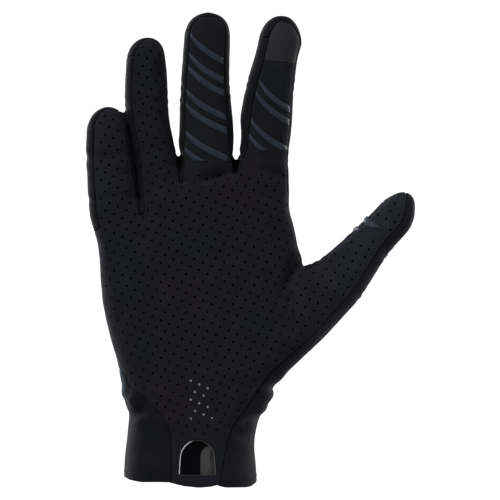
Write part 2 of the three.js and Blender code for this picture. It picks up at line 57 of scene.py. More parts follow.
# Hand and cuff, measured round the outside
WALL = 1.5
SUEDE = 0.9
SUEDE_AT_LABEL = 0.35
CUFF_WIDTH = 64.0
CUFF_DEPTH = 50.0
CUFF_LENGTH = 36.0
PALM_WIDTH = 98.0
PALM_DEPTH = 36.0
PALM_LENGTH = 124.0
FINGER_LENGTH = 110.0
FINGER_WIDTH = 25.0
FINGER_DEPTH = 21.5
HAND_POWER = 2.35
DIGIT_POWER = 2.2

# Tongue of the palm panel, window, labels, bars and cap
TONGUE_WIDTH = 23.5
TONGUE_SHIFT = 1.8
WINDOW_WIDTH = 18.5
WINDOW_HEIGHT = 17.5
WINDOW_SHIFT = 2.8
WINDOW_SILL = 6.0
ARCH_TAPER = 0.94
CARE_LABEL = {"width": 11.4, "height": 20.9, "left": -1.4, "foot": 32.3, "depth": 0.55}
SIZE_LABEL = {"width": 12.0, "height": 15.5, "left": 4.2, "foot": 5.0, "depth": 1.9}
LABEL_THICKNESS = 0.5
LABEL_MARGIN = 1.5
CAP_LENGTH = 23.0
CAP_REACH = 20.0
TIP_INSET = 1.2
GUSSET_BACK = 3.5
REACH_PAST = 3.0

# Bound edge of the window: how far inside the cut it runs, its steps, depth and half sizes
EDGE_INSET = 0.35
EDGE_STEP = 0.6
EDGE_DEPTH = 0.75
EDGE_HALF_WIDTH = 0.24
EDGE_HALF_DEPTH = 0.7

# A place in front of the whole glove
IN_FRONT = -80.0


def table(names, *rows):
    """Named columns of a short table of rows."""
    return {name: np.array([row[i] for row in rows], float) for i, name in enumerate(names.split())}


# Sections of the cuff: up in cuff lengths, the rest in cuff widths and depths
CUFF_ROWS = table(
    "up shift width depth lean",
    (-0.3, -0.012, 1.01, 1.0, 0.0),
    (0.1, -0.014, 1.0, 1.0, 0.0),
    (0.5, -0.016, 0.97, 0.95, 0.0),
    (0.78, 0.0, 0.97, 0.93, 0.0),
    (1.0, 0.023, 1.0, 0.93, 0.0),
)

# Sections of the hand: up in palm lengths above the cuff, the rest in palm widths and depths
PALM_ROWS = table(
    "up shift width depth lean",
    (0.05, 0.027, 0.715, 1.3, 0.0),
    (0.1, 0.026, 0.735, 1.28, 0.0),
    (0.15, 0.05, 0.81, 1.23, -0.01),
    (0.22, 0.055, 0.855, 1.16, -0.03),
    (0.31, 0.046, 0.896, 1.09, -0.05),
    (0.4, 0.045, 0.95, 1.02, -0.05),
    (0.52, 0.04, 0.98, 0.94, -0.03),
    (0.62, 0.033, 0.985, 0.88, -0.01),
    (0.73, 0.008, 0.985, 0.81, 0.0),
    (0.8, -0.013, 0.98, 0.72, 0.0),
    (0.86, 0.045, 0.83, 0.64, 0.0),
    (0.92, 0.1, 0.7, 0.55, 0.0),
    (0.97, 0.1, 0.66, 0.36, 0.0),
)

# Digits: the root in palm widths and lengths, splay in degrees, reach in finger lengths, width, round
# of the tip and insets of the seams in finger widths, depth, curl and place in front in finger depths
DIGITS = {
    "pinky": {
        "root": (-0.366, 0.636), "reach": 0.6327, "splay": -4.6, "forward": 0.0698,
        "width": 0.96, "depth": 0.8837, "round": 0.44, "curl": 0.2326, "left": 0.136,
        "right": ((0.3, 0.0), (0.6, -0.01), (0.85, 0.02)),
        "rows": table(
            "at side width depth",
            (0.0, 0.04, 0.76, 1.0),
            (0.245, 0.0, 1.0, 1.0),
            (0.4, -0.02, 0.98, 1.0),
            (0.55, -0.03, 0.95, 0.96),
            (0.71, -0.025, 0.9, 0.92),
            (0.84, -0.02, 0.83, 0.86),
        ),
    },
    "ring": {
        "root": (-0.134, 0.676), "reach": 0.8964, "splay": -5.35, "forward": 0.0,
        "width": 0.82, "depth": 0.9302, "round": 0.42, "curl": 0.2791, "right": 0.02,
        "left": ((0.15, 0.02), (0.25, 0.03), (0.36, 0.06), (0.48, 0.128)),
        "rows": table(
            "at side width depth",
            (0.0, 0.0, 0.95, 1.0),
            (0.2, 0.04, 0.95, 1.0),
            (0.395, -0.01, 0.97, 1.0),
            (0.494, -0.09, 0.96, 0.98),
            (0.6, -0.14, 0.98, 0.96),
            (0.72, -0.12, 1.02, 0.93),
            (0.84, -0.075, 0.95, 0.88),
            (0.9, -0.06, 0.88, 0.84),
        ),
    },
    "middle": {
        "root": (0.084, 0.676), "reach": 1.0027, "splay": -0.2, "forward": 0.0,
        "width": 1.0, "depth": 1.0, "round": 0.424, "curl": 0.3023,
        "left": ((0.26, 0.0), (0.36, 0.104)),
        "right": ((0.29, 0.0), (0.36, 0.06), (0.45, 0.084)),
        "rows": table(
            "at side width depth",
            (0.0, 0.0, 1.0, 1.0),
            (0.176, 0.015, 1.03, 1.0),
            (0.31, -0.01, 1.04, 1.0),
            (0.404, -0.06, 1.05, 0.99),
            (0.483, -0.04, 1.03, 0.97),
            (0.59, -0.06, 0.99, 0.95),
            (0.7, -0.065, 0.93, 0.91),
            (0.8, -0.045, 0.89, 0.87),
            (0.9, -0.02, 0.88, 0.83),
        ),
    },
    "index": {
        "root": (0.347, 0.676), "reach": 0.9945, "splay": 5.3, "forward": 0.0,
        "width": 0.98, "depth": 1.0, "round": 0.56, "curl": 0.2791, "right": 0.02,
        "left": ((0.28, 0.01), (0.32, 0.06), (0.4, 0.184)),
        "rows": table(
            "at side width depth",
            (0.0, 0.0, 1.0, 1.0),
            (0.18, -0.065, 1.04, 1.0),
            (0.38, -0.14, 1.01, 1.0),
            (0.49, -0.143, 1.02, 0.98),
            (0.6, -0.14, 0.97, 0.95),
            (0.7, -0.115, 0.91, 0.91),
            (0.81, -0.06, 0.84, 0.86),
            (0.87, -0.02, 0.84, 0.83),
        ),
    },
    "thumb": {
        "root": (0.388, 0.177), "reach": 0.9773, "splay": 38.1, "forward": 0.2791,
        "width": 1.12, "depth": 1.3953, "round": 0.52, "curl": 0.4186, "left": 0.02, "right": 0.2,
        "rows": table(
            "at side width depth",
            (0.0, 0.0, 0.5, 0.62),
            (0.13, -0.07, 0.82, 0.86),
            (0.26, -0.125, 1.07, 1.0),
            (0.42, -0.085, 1.07, 0.93),
            (0.49, -0.02, 0.985, 0.88),
            (0.61, 0.015, 0.83, 0.78),
            (0.74, 0.04, 0.7, 0.68),
            (0.85, 0.075, 0.66, 0.63),
        ),
    },
}

# Sides of the tongue: up in cuff lengths, edges in tongue widths from the middle of the tongue
TONGUE_ROWS = table(
    "up left right",
    (0.08, -0.49, 0.5),
    (0.5, -0.495, 0.63),
    (0.74, -0.52, 0.71),
    (0.92, -0.63, 0.86),
    (1.17, -0.97, 1.14),
    (1.38, -1.38, 1.35),
    (1.57, -1.54, 1.58),
    (1.7, -2.3, 1.75),
)

# Feet of the gussets and sides of the palm panel, in palm widths and palm lengths
FORKS = ((-0.252, 0.774), (-0.05, 0.898), (0.217, 0.93))
THUMB_SIDE = ((0.44, 0.23), (0.47, 0.5), (0.57, 0.57), (0.53, 0.83), (0.35, 0.93))
OUTER_SIDE = ((-0.38, 0.766), (-0.53, 0.684), (-0.53, 0.3))
GUSSET_FOOT = ((0.0, 0.0), (0.06, 0.09), (0.0, 0.16), (-0.06, 0.09))
GUSSET_TOP = 0.8
GUSSET_INNER = 0.72
GUSSET_HEAD = 0.15

# Surface between front and back: where it bends with the fingers, and where the thumb takes over,
# in palm widths and palm lengths
BEND_FROM, BEND_OVER = 0.75, 0.6
THUMB_FROM, THUMB_FULL = 0.46, 0.62
THUMB_TOP, THUMB_END = 0.847, 0.992
THUMB_LEAN = 0.6

# Lowest edge seen from the front: left cuff, tongue and right cuff, each a little rounded
HEM_ROWS = table(
    "across up",
    (-60.0, 6.0),
    (-33.5, 4.9),
    (-31.0, 3.5),
    (-25.2, 2.7),
    (-11.2, 2.9),
    (-8.6, 2.2),
    (-3.4, 1.0),
    (3.6, 0.3),
    (9.0, 0.7),
    (12.4, 1.5),
    (14.4, 0.8),
    (17.0, 0.25),
    (29.0, 0.1),
    (31.5, 1.2),
    (60.0, 1.2),
)

# Back of the hem, and the depths between which it takes over
BACK_HEM = ((-40, 40), (4.5, 2.2))
HEM_TURN = (-16, 6)

# Row of stitches: its height above the hem, and its pitch in stitch lengths
HEM_RISE = 3.3
STITCH_PITCH = 1.5

# Bars on the fingers: the place of each left end as a share of the reach, and their lowest place
GRIPS = {
    "middle": {"places": (0.911, 0.826, 0.77, 0.664, 0.604, 0.482, 0.409), "foot": 0.346},
    "index": {"places": (0.711, 0.655, 0.533, 0.466), "foot": 0.396},
}
GRIP_WIDTH = 3.6
GRIP_FALL = 12.0
GRIP_SAG = 1.5
GRIP_START = 0.75
GRIP_GAIN = 1.2
GRIP_HEIGHT = 0.7
GRIP_SUNK = 0.45

# Across a bar: shares of its width, and shares of its height there
GRIP_ACROSS = (0.0, 0.05, 0.16, 0.5, 0.84, 0.95, 1.0)
GRIP_RISE = (0.1, 0.75, 0.98, 1.0, 0.98, 0.75, 0.1)

# Bars over the edge of the thumb: turn round it in degrees, and the two edges there in shares of its
# reach. A turn of 180 is the edge towards the index finger, 270 is the front.
THUMB_GRIPS = (
    table(
        "turn low high",
        (150, 0.779, 0.806),
        (197, 0.781, 0.806),
        (233, 0.768, 0.8045),
        (266, 0.799, 0.802),
    ),
    table("turn low high", (150, 0.719, 0.743), (204, 0.721, 0.742), (230, 0.737, 0.74)),
)

# Folds and swellings: side of the hand, width, height and the line that they follow, from the front
FOLDS = (
    ("front", 2.6, -1.2, ((47.7, 109), (47.9, 99))),
    ("front", 2.6, -2.3, ((47.9, 94.6), (45.6, 86.3), (45.0, 81), (46.4, 76))),
    ("front", 6.5, 1.4, ((55.0, 103), (55.5, 92), (52, 80))),
    ("front", 5.0, 0.6, ((40.5, 100), (38.5, 90), (37, 80))),
    ("front", 2.4, -3.4, ((3.5, 148.5), (9, 149.5), (16.5, 152))),
    ("front", 3.5, 1.2, ((2, 144), (10, 145), (19, 147.5))),
    ("front", 2.4, -2.2, ((33, 154.5), (38, 151.5), (42, 151))),
    ("front", 1.9, -4.0, ((-31.6, 175.5), (-28.2, 160), (-26.2, 144), (-24.8, 132))),
    ("front", 1.7, -3.0, ((-6.3, 162.5), (-5.6, 155), (-4.9, 147.4))),
    ("front", 1.7, -3.0, ((21.1, 158.5), (21.3, 151.3))),
    ("front", 1.6, -0.8, ((-24.7, 132), (-21.5, 126), (-20, 122))),
    ("front", 2.8, -1.6, ((-22, 31.5), (-15, 27.5), (-8.2, 22.8))),
    ("front", 3.4, 0.9, ((-25, 27), (-17, 21.5), (-11, 17))),
    ("front", 2.2, -1.3, ((33.5, 34.4), (29, 32.5), (24.5, 29.4))),
    ("front", 2.8, -1.3, ((28.5, 24.4), (24, 25.6), (19.4, 28.3))),
    ("front", 2.2, -1.5, ((-30.0, 34.0), (-25.0, 36.0), (-21.5, 40.5), (-22.5, 45.0))),
    ("front", 2.6, 1.7, ((-32.5, 46.0), (-28.5, 42.5), (-26.5, 38.5))),
    ("front", 1.5, -0.7, ((-33.5, 41.5), (-30.5, 44.5), (-29.5, 48.0))),
    ("front", 1.4, -1.4, ((28.5, 45.0), (33, 47.8), (41, 49.0))),
    ("front", 2.2, 1.0, ((29.5, 42.0), (35, 45.6), (40, 46.2))),
    ("front", 1.6, -1.2, ((27.5, 39.5), (33, 41.2), (39, 40.5))),
    ("front", 3.0, 1.2, ((37.5, 43.0), (34.0, 37.5), (30, 35.5))),
    ("front", 14.0, 1.2, ((36, 68), (40, 84))),
    ("front", 14.0, 0.9, ((-26, 62), (-28, 86))),
    ("front", 20.0, -1.4, ((0, 84), (6, 106))),
    ("front", 3.0, -0.5, ((-38, 118), (-20, 121), (2, 124), (20, 130))),
    ("front", 3.5, -0.5, ((44, 122), (28, 116), (8, 108), (-10, 104))),
    ("front", 3.5, -0.6, ((43, 118), (30, 106), (20, 88), (17, 70))),
    ("back", 5.0, 0.9, ((-12, 150), (-6, 120), (-2, 90))),
    ("back", 5.0, 0.9, ((9, 152), (8, 120), (5, 90))),
    ("back", 5.0, 0.9, ((31, 150), (25, 120), (14, 90))),
    ("back", 5.0, 0.8, ((-34, 132), (-24, 110), (-12, 88))),
    ("back", 2.4, -0.8, ((-28, 50), (-6, 46), (14, 48), (36, 54))),
    ("back", 2.2, 0.7, ((-24, 45), (0, 42), (26, 45))),
    ("back", 2.0, -0.6, ((-26, 28), (-4, 24), (18, 27))),
)

# Thickness that evening out the facets takes away
REMESH_LOSS = 0.38

# Places where the outline differs from the sections: shape, place, radius and move
NUDGES = (
    ("hand", 51.5, 109.0, 5.0, 1.8, 0.6),
    ("thumb", 55.0, 106.0, 5.0, 0.0, 1.2),
    ("thumb", 97.0, 142.0, 6.0, 0.9, -1.2),
    ("thumb", 105.5, 139.5, 4.0, 0.5, 0.3),
    ("hand", 47.0, 57.0, 13.0, 0.5, -0.6),
    ("index", 22.3, 170.0, 7.0, 1.3, 0.0),
    ("middle", 20.4, 166.0, 5.0, 0.5, 0.0),
    ("index", 52.4, 216.0, 5.0, 0.5, 0.0),
    ("hand", 21.4, 161.0, 6.0, 0.0, -4.0),
    ("middle", 20.4, 160.5, 3.5, -1.0, 0.0),
    ("index", 22.4, 160.5, 3.5, 1.2, 0.0),
    ("index", 24.6, 177.0, 5.0, -0.4, 0.0),
    ("hand", -6.8, 164.0, 6.0, 0.0, -4.0),
    ("ring", -8.0, 163.0, 3.5, -0.8, 0.0),
    ("middle", -5.9, 163.0, 3.5, 0.8, 0.0),
)

# Joints of the digits: where each bends, as shares of its reach
JOINTS = {
    "pinky": (0.36, 0.66),
    "ring": (0.36, 0.68),
    "middle": (0.36, 0.67),
    "index": (0.36, 0.68),
    "thumb": (0.5, 0.72),
}

# Rolls over the joints: where they fade in along a digit, and how far beside it they reach
FINGER_ROLLS = (0.3, 0.36, 0.72)
THUMB_ROLLS = (0.44, 0.5, 0.6)

# Where the little finger leans on the ring finger: heights, overlap and greatest move
MEET_FROM, MEET_TO = (124, 136), (170, 176)
MEET_OVERLAP, MEET_MOST = 0.7, 4

# Uneven surface of worn cloth: size and height of its slow and its quick waves
SLOW_WAVE, SLOW_HEIGHT = 17.0, 0.45
QUICK_WAVE, QUICK_HEIGHT = 5.0, 0.13

# Kinds of triangle that no panel has, and the share of a kind's biggest island that makes a crumb
HEM_KIND, WINDOW_KIND = -1, -2
CRUMB = 0.2

# Holes: two steps of the lattice and the place of one hole, as (across, up)
HOLE_STEP_A = (4.12, -1.79)
HOLE_STEP_B = (2.04, 3.69)
HOLE_ORIGIN = (3.59, 50.15)
HOLE_CLEAR = 1.75
HOLE_PUNCH = 4.4
HOLE_FACING = -0.3

# Where the suede has no holes: low on the tongue, on the bars' fingers and round the thumb's bars
HOLES_UP = (26.2, 226.0)
BARE_FINGERS = {"left": -8.0, "right": 60.0, "foot": 152.5}
BARE_BASE = {"left": -6.0, "foot": 150.9, "slope": 0.18}
BARE_THUMB = {"left": 78.0, "right": 93.0, "up": 118.5, "slope": 0.1, "half": 6.5, "sum": 218.0}

# Stage, in metres: each lamp's name, place, target, size and power, the floor and the camera
CENTRE = (0.028, 0.0, 0.115)
LAMPS = (
    ("key", (-0.9, -0.8, 1.0), CENTRE, 0.5, 17.5),
    ("fill", (1.2, -0.8, 0.3), CENTRE, 0.6, 5.5),
    ("low", (0.1, -0.25, -0.28), (0.0, 0.02, 0.02), 0.3, 0.7),
    ("back left", (-0.9, 0.9, 0.4), CENTRE, 0.9, 22.0),
    ("back right", (1.0, 0.8, 0.3), CENTRE, 0.9, 16.0),
)
AMBIENT = 0.16
FLOOR = {"radius": 7.0, "height": 6.0, "depth": -0.3}
LENS, SENSOR = 400.0, 36.0
VIEW_WIDTH = 242.5 * MM
VIEW_MIDDLE = (0.0281, 0.1149)
VIEW_FRONT = 0.008

GUSSETS = ("gusset_pinky_ring", "gusset_ring_middle", "gusset_middle_index")
PANELS = ("palm_panel", "touch_cap", *GUSSETS, "cuff", "back_panel")


class GloveSizes(bpy.types.PropertyGroup):
    """Sizes that a user of the glove would change."""

    fineness: FloatProperty(
        name="Fineness", description="Length of the skin's facets", default=1.15 * MM, unit="LENGTH"
    )
    seam_round: FloatProperty(
        name="Seam round", description="Radius of a rolled edge", default=0.7 * MM, unit="LENGTH"
    )
    seam_gap: FloatProperty(
        name="Seam gap", description="Gap between two panels", default=0.3 * MM, unit="LENGTH"
    )
    hole: FloatProperty(
        name="Hole", description="Diameter of a perforation", default=1.15 * MM, unit="LENGTH"
    )
    hole_sides: IntProperty(name="Hole sides", description="Sides of a perforation", default=10)
    grip_height: FloatProperty(
        name="Grip height", description="Height of a bar", default=GRIP_HEIGHT * MM, unit="LENGTH"
    )
    stitch: FloatProperty(
        name="Stitch", description="Length of one stitch", default=2.2 * MM, unit="LENGTH"
    )
    fold_strength: FloatProperty(
        name="Folds", description="Strength of the folds", default=1.0, subtype="FACTOR"
    )


def colour_property(name, description, value):
    """A colour that a user can change."""
    return FloatVectorProperty(
        name=name, description=description, default=value, size=3, min=0.0, max=1.0, subtype="COLOR"
    )


class GloveColours(bpy.types.PropertyGroup):
    """Colours that a user of the glove would change."""

    suede: colour_property("Suede", "Palm", (0.0075, 0.0062, 0.0095))
    jersey: colour_property("Jersey", "Back and gussets", (0.0046, 0.0051, 0.0069))
    knit: colour_property("Knit", "Cuff", (0.0036, 0.0041, 0.0061))
    touch: colour_property("Touch cap", "Index fingertip", (0.0155, 0.0146, 0.018))
    silicone: colour_property("Silicone", "Bars", (0.02132, 0.02816, 0.043))
    # The binding colour is the painted highlight on the left of the window's edge; cut_edge darkens it
    # elsewhere into painted shade.
    binding: colour_property("Binding", "Edge of the window", (0.55, 0.55, 0.57))
    care: colour_property("Care label", "Label behind the holes", (0.85, 0.85, 0.85))
    size: colour_property("Size label", "Label in the window", (0.032, 0.032, 0.033))
    print: colour_property("Printed area", "Slate area at the wrist", (0.009, 0.0225, 0.04125))


def sizes():
    """The glove's sizes in the scene."""
    return bpy.context.scene.glove_sizes


def colours():
    """The glove's colours in the scene."""
    return bpy.context.scene.glove_colours


# Sections and surfaces


def eased(rows, key, name, place):
    """Smooth value of one column of a table, through its rows."""
    place = np.asarray(place, float)
    keys, values = rows[key], rows[name]
    last = len(keys) - 1
    i = np.clip(np.searchsorted(keys, place, side="right") - 1, 0, last - 1)
    before = np.maximum(i - 1, 0)
    after = np.minimum(i + 2, last)
    span = keys[i + 1] - keys[i]
    t = np.clip((place - keys[i]) / span, 0, 1)
    slope_a = (values[i + 1] - values[before]) / (keys[i + 1] - keys[before])
    slope_b = (values[after] - values[i]) / (keys[after] - keys[i])
    start = (2 * t**3 - 3 * t**2 + 1) * values[i] + (t**3 - 2 * t**2 + t) * span * slope_a
    return start + (3 * t**2 - 2 * t**3) * values[i + 1] + (t**3 - t**2) * span * slope_b


def smoothstep(value, low, high):
    """0 below low, 1 above high and smooth between."""
    t = np.clip((value - low) / (high - low), 0, 1)
    return t * t * (3 - 2 * t)


def superellipse(sides, power):
    """Rounded section of half width and half depth 1: an ellipse with its sides pushed outwards."""
    turn = np.linspace(0, 2 * np.pi, sides, endpoint=False)
    cosine, sine = np.cos(turn), np.sin(turn)
    across = np.sign(cosine) * np.abs(cosine) ** (2 / power)
    over = np.sign(sine) * np.abs(sine) ** (2 / power)
    return across, over


def hand_table():
    """Sections of cuff and hand in millimetres."""
    up = np.concatenate([CUFF_ROWS["up"] * CUFF_LENGTH, CUFF_LENGTH + PALM_ROWS["up"] * PALM_LENGTH])
    both = {"z": up}
    for name, low, high in (
        ("shift", CUFF_WIDTH, PALM_WIDTH),
        ("lean", CUFF_DEPTH, PALM_DEPTH),
        ("width", CUFF_WIDTH / 2, PALM_WIDTH / 2),
        ("depth", CUFF_DEPTH / 2, PALM_DEPTH / 2),
    ):
        both[name] = np.concatenate([CUFF_ROWS[name] * low, PALM_ROWS[name] * high])
    return both


HAND = hand_table()


def hand_rings(sides, count):
    """Rings of points round the cuff and the hand, from below the hem to between the fingers."""
    up = np.linspace(HAND["z"][0], HAND["z"][-1], count)
    across, over = superellipse(sides, HAND_POWER)
    x = eased(HAND, "z", "shift", up)[:, None] + eased(HAND, "z", "width", up)[:, None] * across
    y = eased(HAND, "z", "lean", up)[:, None] + eased(HAND, "z", "depth", up)[:, None] * over
    z = np.repeat(up[:, None], sides, axis=1)
    start = (HAND["shift"][0], HAND["lean"][0], up[0])
    end = (HAND["shift"][-1], HAND["lean"][-1], CUFF_LENGTH + PALM_LENGTH)
    return np.stack([x, y, z], axis=-1), start, end


def reach_of(digit):
    """Length of a digit from its root."""
    return digit["reach"] * FINGER_LENGTH


def dome_of(digit):
    """Share of a digit's reach at which its round tip begins."""
    return 1 - digit["round"] * FINGER_WIDTH / reach_of(digit)


def digit_frame(digit):
    """Root, direction and sideways direction of a digit."""
    across, up = digit["root"]
    forward = digit["forward"] * FINGER_DEPTH
    root = np.array([across * PALM_WIDTH, -forward, CUFF_LENGTH + up * PALM_LENGTH])
    splay = math.radians(digit["splay"])
    along = np.array([math.sin(splay), 0.0, math.cos(splay)])
    sideways = np.array([math.cos(splay), 0.0, -math.sin(splay)])
    return root, along, sideways


def digit_at(digit, at):
    """Middle, half width and half depth of a digit at shares of its reach."""
    at = np.atleast_1d(np.asarray(at, float))
    root, along, sideways = digit_frame(digit)
    reach, dome = reach_of(digit), dome_of(digit)
    width, depth = digit["width"] * FINGER_WIDTH, digit["depth"] * FINGER_DEPTH
    into = np.clip((at - dome) / (1 - dome), 0, 1)
    rounded = np.sqrt(1 - into**2)
    side = eased(digit["rows"], "at", "side", at) * width * (1 - into)
    centre = root + along * (at * reach)[:, None] + sideways * side[:, None]
    centre[:, 1] -= digit["curl"] * FINGER_DEPTH * at**2
    half_width = eased(digit["rows"], "at", "width", at) * width / 2 * rounded
    half_depth = eased(digit["rows"], "at", "depth", at) * depth / 2 * rounded
    return centre, half_width, half_depth


def digit_rings(digit, sides, count):
    """Rings of points round a digit, from its root in the hand to its tip."""
    _, along, sideways = digit_frame(digit)
    dome = dome_of(digit)
    body = np.linspace(0, dome, count, endpoint=False)
    tip = dome + (1 - dome) * np.sin(np.linspace(0, np.pi / 2, 14)[:-1])
    at = np.concatenate([body, tip])
    centre, half_width, half_depth = digit_at(digit, at)
    across, over = superellipse(sides, DIGIT_POWER)
    rings = centre[:, None, :] + sideways * (half_width[:, None] * across)[..., None]
    rings[..., 1] += half_depth[:, None] * over
    return rings, centre[0] - along * REACH_PAST, digit_at(digit, 1.0)[0][0]


def inset_of(digit, at, side, extra=0.0):
    """Distance from a digit's outline to its left or right seam."""
    inset = digit["left" if side < 0 else "right"]
    if not isinstance(inset, float):
        inset = np.interp(at, [row[0] for row in inset], [row[1] for row in inset])
    return inset * FINGER_WIDTH + extra


def digit_edge(digit, at, side, inset):
    """Edge of a digit's outline from the front, moved by an inset; side is -1 or 1."""
    centre, half_width, _ = digit_at(digit, at)
    sideways = digit_frame(digit)[2]
    reach = np.maximum(half_width - inset, 0.5)
    return (centre + sideways * (side * reach)[:, None])[:, [0, 2]]


def loft(rings, start, end):
    """Points and triangles of a closed skin over rings of points."""
    count, sides = rings.shape[:2]
    points = np.concatenate([rings.reshape(-1, 3), [start, end]])
    ring, side = np.meshgrid(np.arange(count - 1), np.arange(sides), indexing="ij")
    a = ring * sides + side
    b = ring * sides + (side + 1) % sides
    body = np.concatenate([
        np.stack([a, b, b + sides], -1).reshape(-1, 3),
        np.stack([a, b + sides, a + sides], -1).reshape(-1, 3),
    ])
    here, there = np.arange(sides), (np.arange(sides) + 1) % sides
    foot = np.stack([np.full(sides, count * sides), there, here], -1)
    top = (count - 1) * sides
    head = np.stack([np.full(sides, count * sides + 1), top + here, top + there], -1)
    return points, np.concatenate([body, foot, head])


def joined(shapes):
    """Points and triangles of several shapes together."""
    points, faces, count = [], [], 0
    for shape_points, shape_faces in shapes:
        points.append(shape_points)
        faces.append(shape_faces + count)
        count += len(shape_points)
    return np.concatenate(points), np.concatenate(faces)


def mesh_of(name, points, faces):
    """Blender mesh of points in millimetres and faces."""
    mesh = bpy.data.meshes.new(name)
    mesh.from_pydata((np.asarray(points) * MM).tolist(), [], np.asarray(faces).tolist())
    mesh.validate()
    mesh.update()
    return mesh


def object_of(name, mesh):
    """Object for a mesh, in the scene."""
    obj = bpy.data.objects.new(name, mesh)
    bpy.context.scene.collection.objects.link(obj)
    return obj


def settled(obj):
    """Turns an object's live modifiers into its own mesh."""
    graph = bpy.context.evaluated_depsgraph_get()
    mesh = bpy.data.meshes.new_from_object(obj.evaluated_get(graph), depsgraph=graph)
    obj.modifiers.clear()
    old = obj.data
    obj.data = mesh
    bpy.data.meshes.remove(old)
    return obj


def triangles_of(mesh):
    """Points in millimetres and triangles of a Blender mesh."""
    points = np.empty(len(mesh.vertices) * 3)
    mesh.vertices.foreach_get("co", points)
    mesh.calc_loop_triangles()
    faces = np.empty(len(mesh.loop_triangles) * 3, int)
    mesh.loop_triangles.foreach_get("vertices", faces)
    return points.reshape(-1, 3) / MM, faces.reshape(-1, 3)


def ends_of(faces):
    """The two points of the triangles' sides: all first sides, all second, all third."""
    return np.concatenate([faces[:, [0, 1]], faces[:, [1, 2]], faces[:, [2, 0]]])


def normals_of(points, faces):
    """Smooth normal at each point."""
    a, b, c = (points[faces[:, i]] for i in range(3))
    face_normals = np.cross(b - a, c - a)
    normals = np.zeros_like(points)
    for i in range(3):
        np.add.at(normals, faces[:, i], face_normals)
    return normals / np.maximum(np.linalg.norm(normals, axis=1, keepdims=True), 1e-9)


def relaxed(points, faces, rounds):
    """Points moved towards the middle of their neighbours, to take out small steps."""
    edges = np.unique(np.sort(ends_of(faces), axis=1), axis=0)
    count = np.bincount(edges.ravel(), minlength=len(points))[:, None]
    for _ in range(rounds):
        total = np.zeros_like(points)
        np.add.at(total, edges[:, 0], points[edges[:, 1]])
        np.add.at(total, edges[:, 1], points[edges[:, 0]])
        points = points * 0.5 + total / count * 0.5
    return points


# Outlines seen from the front


def on_palm(row):
    """Place on the palm for a row in palm widths and palm lengths."""
    return [row[0] * PALM_WIDTH, CUFF_LENGTH + row[1] * PALM_LENGTH]


def palm_outline():
    """Palm and tongue of the palm panel."""
    up = np.linspace(TONGUE_ROWS["up"][0], TONGUE_ROWS["up"][-1], 26)
    right = TONGUE_SHIFT + eased(TONGUE_ROWS, "up", "right", up) * TONGUE_WIDTH
    left = TONGUE_SHIFT + eased(TONGUE_ROWS, "up", "left", up) * TONGUE_WIDTH
    corners = [[right[0], -30], *np.stack([right, up * CUFF_LENGTH], 1)]
    corners += [on_palm(row) for row in (*THUMB_SIDE, *reversed(FORKS), *OUTER_SIDE)]
    corners += [*np.stack([left, up * CUFF_LENGTH], 1)[::-1], [left[0], -30]]
    return np.array(corners)


def digit_steps(digit):
    """Shares of a digit's reach for its outline, closer together at the tip."""
    dome = dome_of(digit)
    tip = dome + (1 - dome) * np.sin(np.linspace(0, np.pi / 2, 10)[:-1])
    return np.concatenate([np.linspace(0, dome, 26, endpoint=False), tip])


def digit_strip(digit):
    """Front of a digit inside its two side seams."""
    at = digit_steps(digit)
    left = digit_edge(digit, at, -1, inset_of(digit, at, -1))
    right = digit_edge(digit, at, 1, inset_of(digit, at, 1))
    tip = digit_at(digit, 1 - TIP_INSET / reach_of(digit))[0][:, [0, 2]]
    return np.concatenate([left, tip, right[::-1]])


def digit_half(digit, side):
    """Half of a digit, from its spine past one edge, for a gusset."""
    top = 1 - GUSSET_TOP * digit["round"] * FINGER_WIDTH / reach_of(digit)
    at = digit_steps(digit)
    at = at[at < top]
    width = digit["width"] * FINGER_WIDTH
    spine = digit_edge(digit, at, side, GUSSET_INNER * width / 2)
    edge = digit_edge(digit, at, side, -REACH_PAST)
    head = digit_at(digit, top)[0][:, [0, 2]] + [[side * GUSSET_HEAD * width, 0]]
    return np.concatenate([spine, head, edge[::-1]])


def window_outline(grow=0.0):
    """Arch of the window on its straight sill."""
    rise = WINDOW_WIDTH / 2
    spring = WINDOW_SILL + WINDOW_HEIGHT - rise
    turn = np.linspace(0, np.pi, 25)
    across = WINDOW_SHIFT + np.cos(turn) * (rise * ARCH_TAPER + grow)
    up = spring + np.sin(turn) * (rise + grow)
    foot = WINDOW_SILL - grow
    right, left = [[WINDOW_SHIFT + rise + grow, foot]], [[WINDOW_SHIFT - rise - grow, foot]]
    return np.concatenate([right, np.stack([across, up], 1), left])


def outline_distance(outline, places):
    """Distance from places to a closed outline, negative inside it."""
    result = np.full(len(places), 99.0)
    low, high = outline.min(0) - 6, outline.max(0) + 6
    close = np.all((places > low) & (places < high), axis=1)
    if not close.any():
        return result
    p = places[close][:, None, :]
    a = outline[None]
    b = np.roll(outline, -1, axis=0)[None]
    edge = b - a
    t = np.clip(((p - a) * edge).sum(-1) / np.maximum((edge**2).sum(-1), 1e-12), 0, 1)
    nearest = np.sqrt((((p - a) - edge * t[..., None]) ** 2).sum(-1).min(1))
    passes = (a[..., 1] > p[..., 1]) != (b[..., 1] > p[..., 1])
    rise = np.where(edge[..., 1] == 0, 1, edge[..., 1])
    offset = np.where(passes, edge[..., 0] * (p[..., 1] - a[..., 1]) / rise, 0)
    crossings = (passes & (p[..., 0] < a[..., 0] + offset)).sum(1)
    result[close] = np.where(crossings % 2 == 1, -nearest, nearest)
    return result


def in_chunks(outline, places, size=12000):
    """Distance to an outline, worked out a part of the places at a time."""
    parts = [outline_distance(outline, places[i : i + size]) for i in range(0, len(places), size)]
    return np.concatenate(parts) if parts else np.zeros(0)


FRONT_OUTLINES = [palm_outline(), *(digit_strip(digit) for digit in DIGITS.values())]
WINDOW_OUTLINE = window_outline()


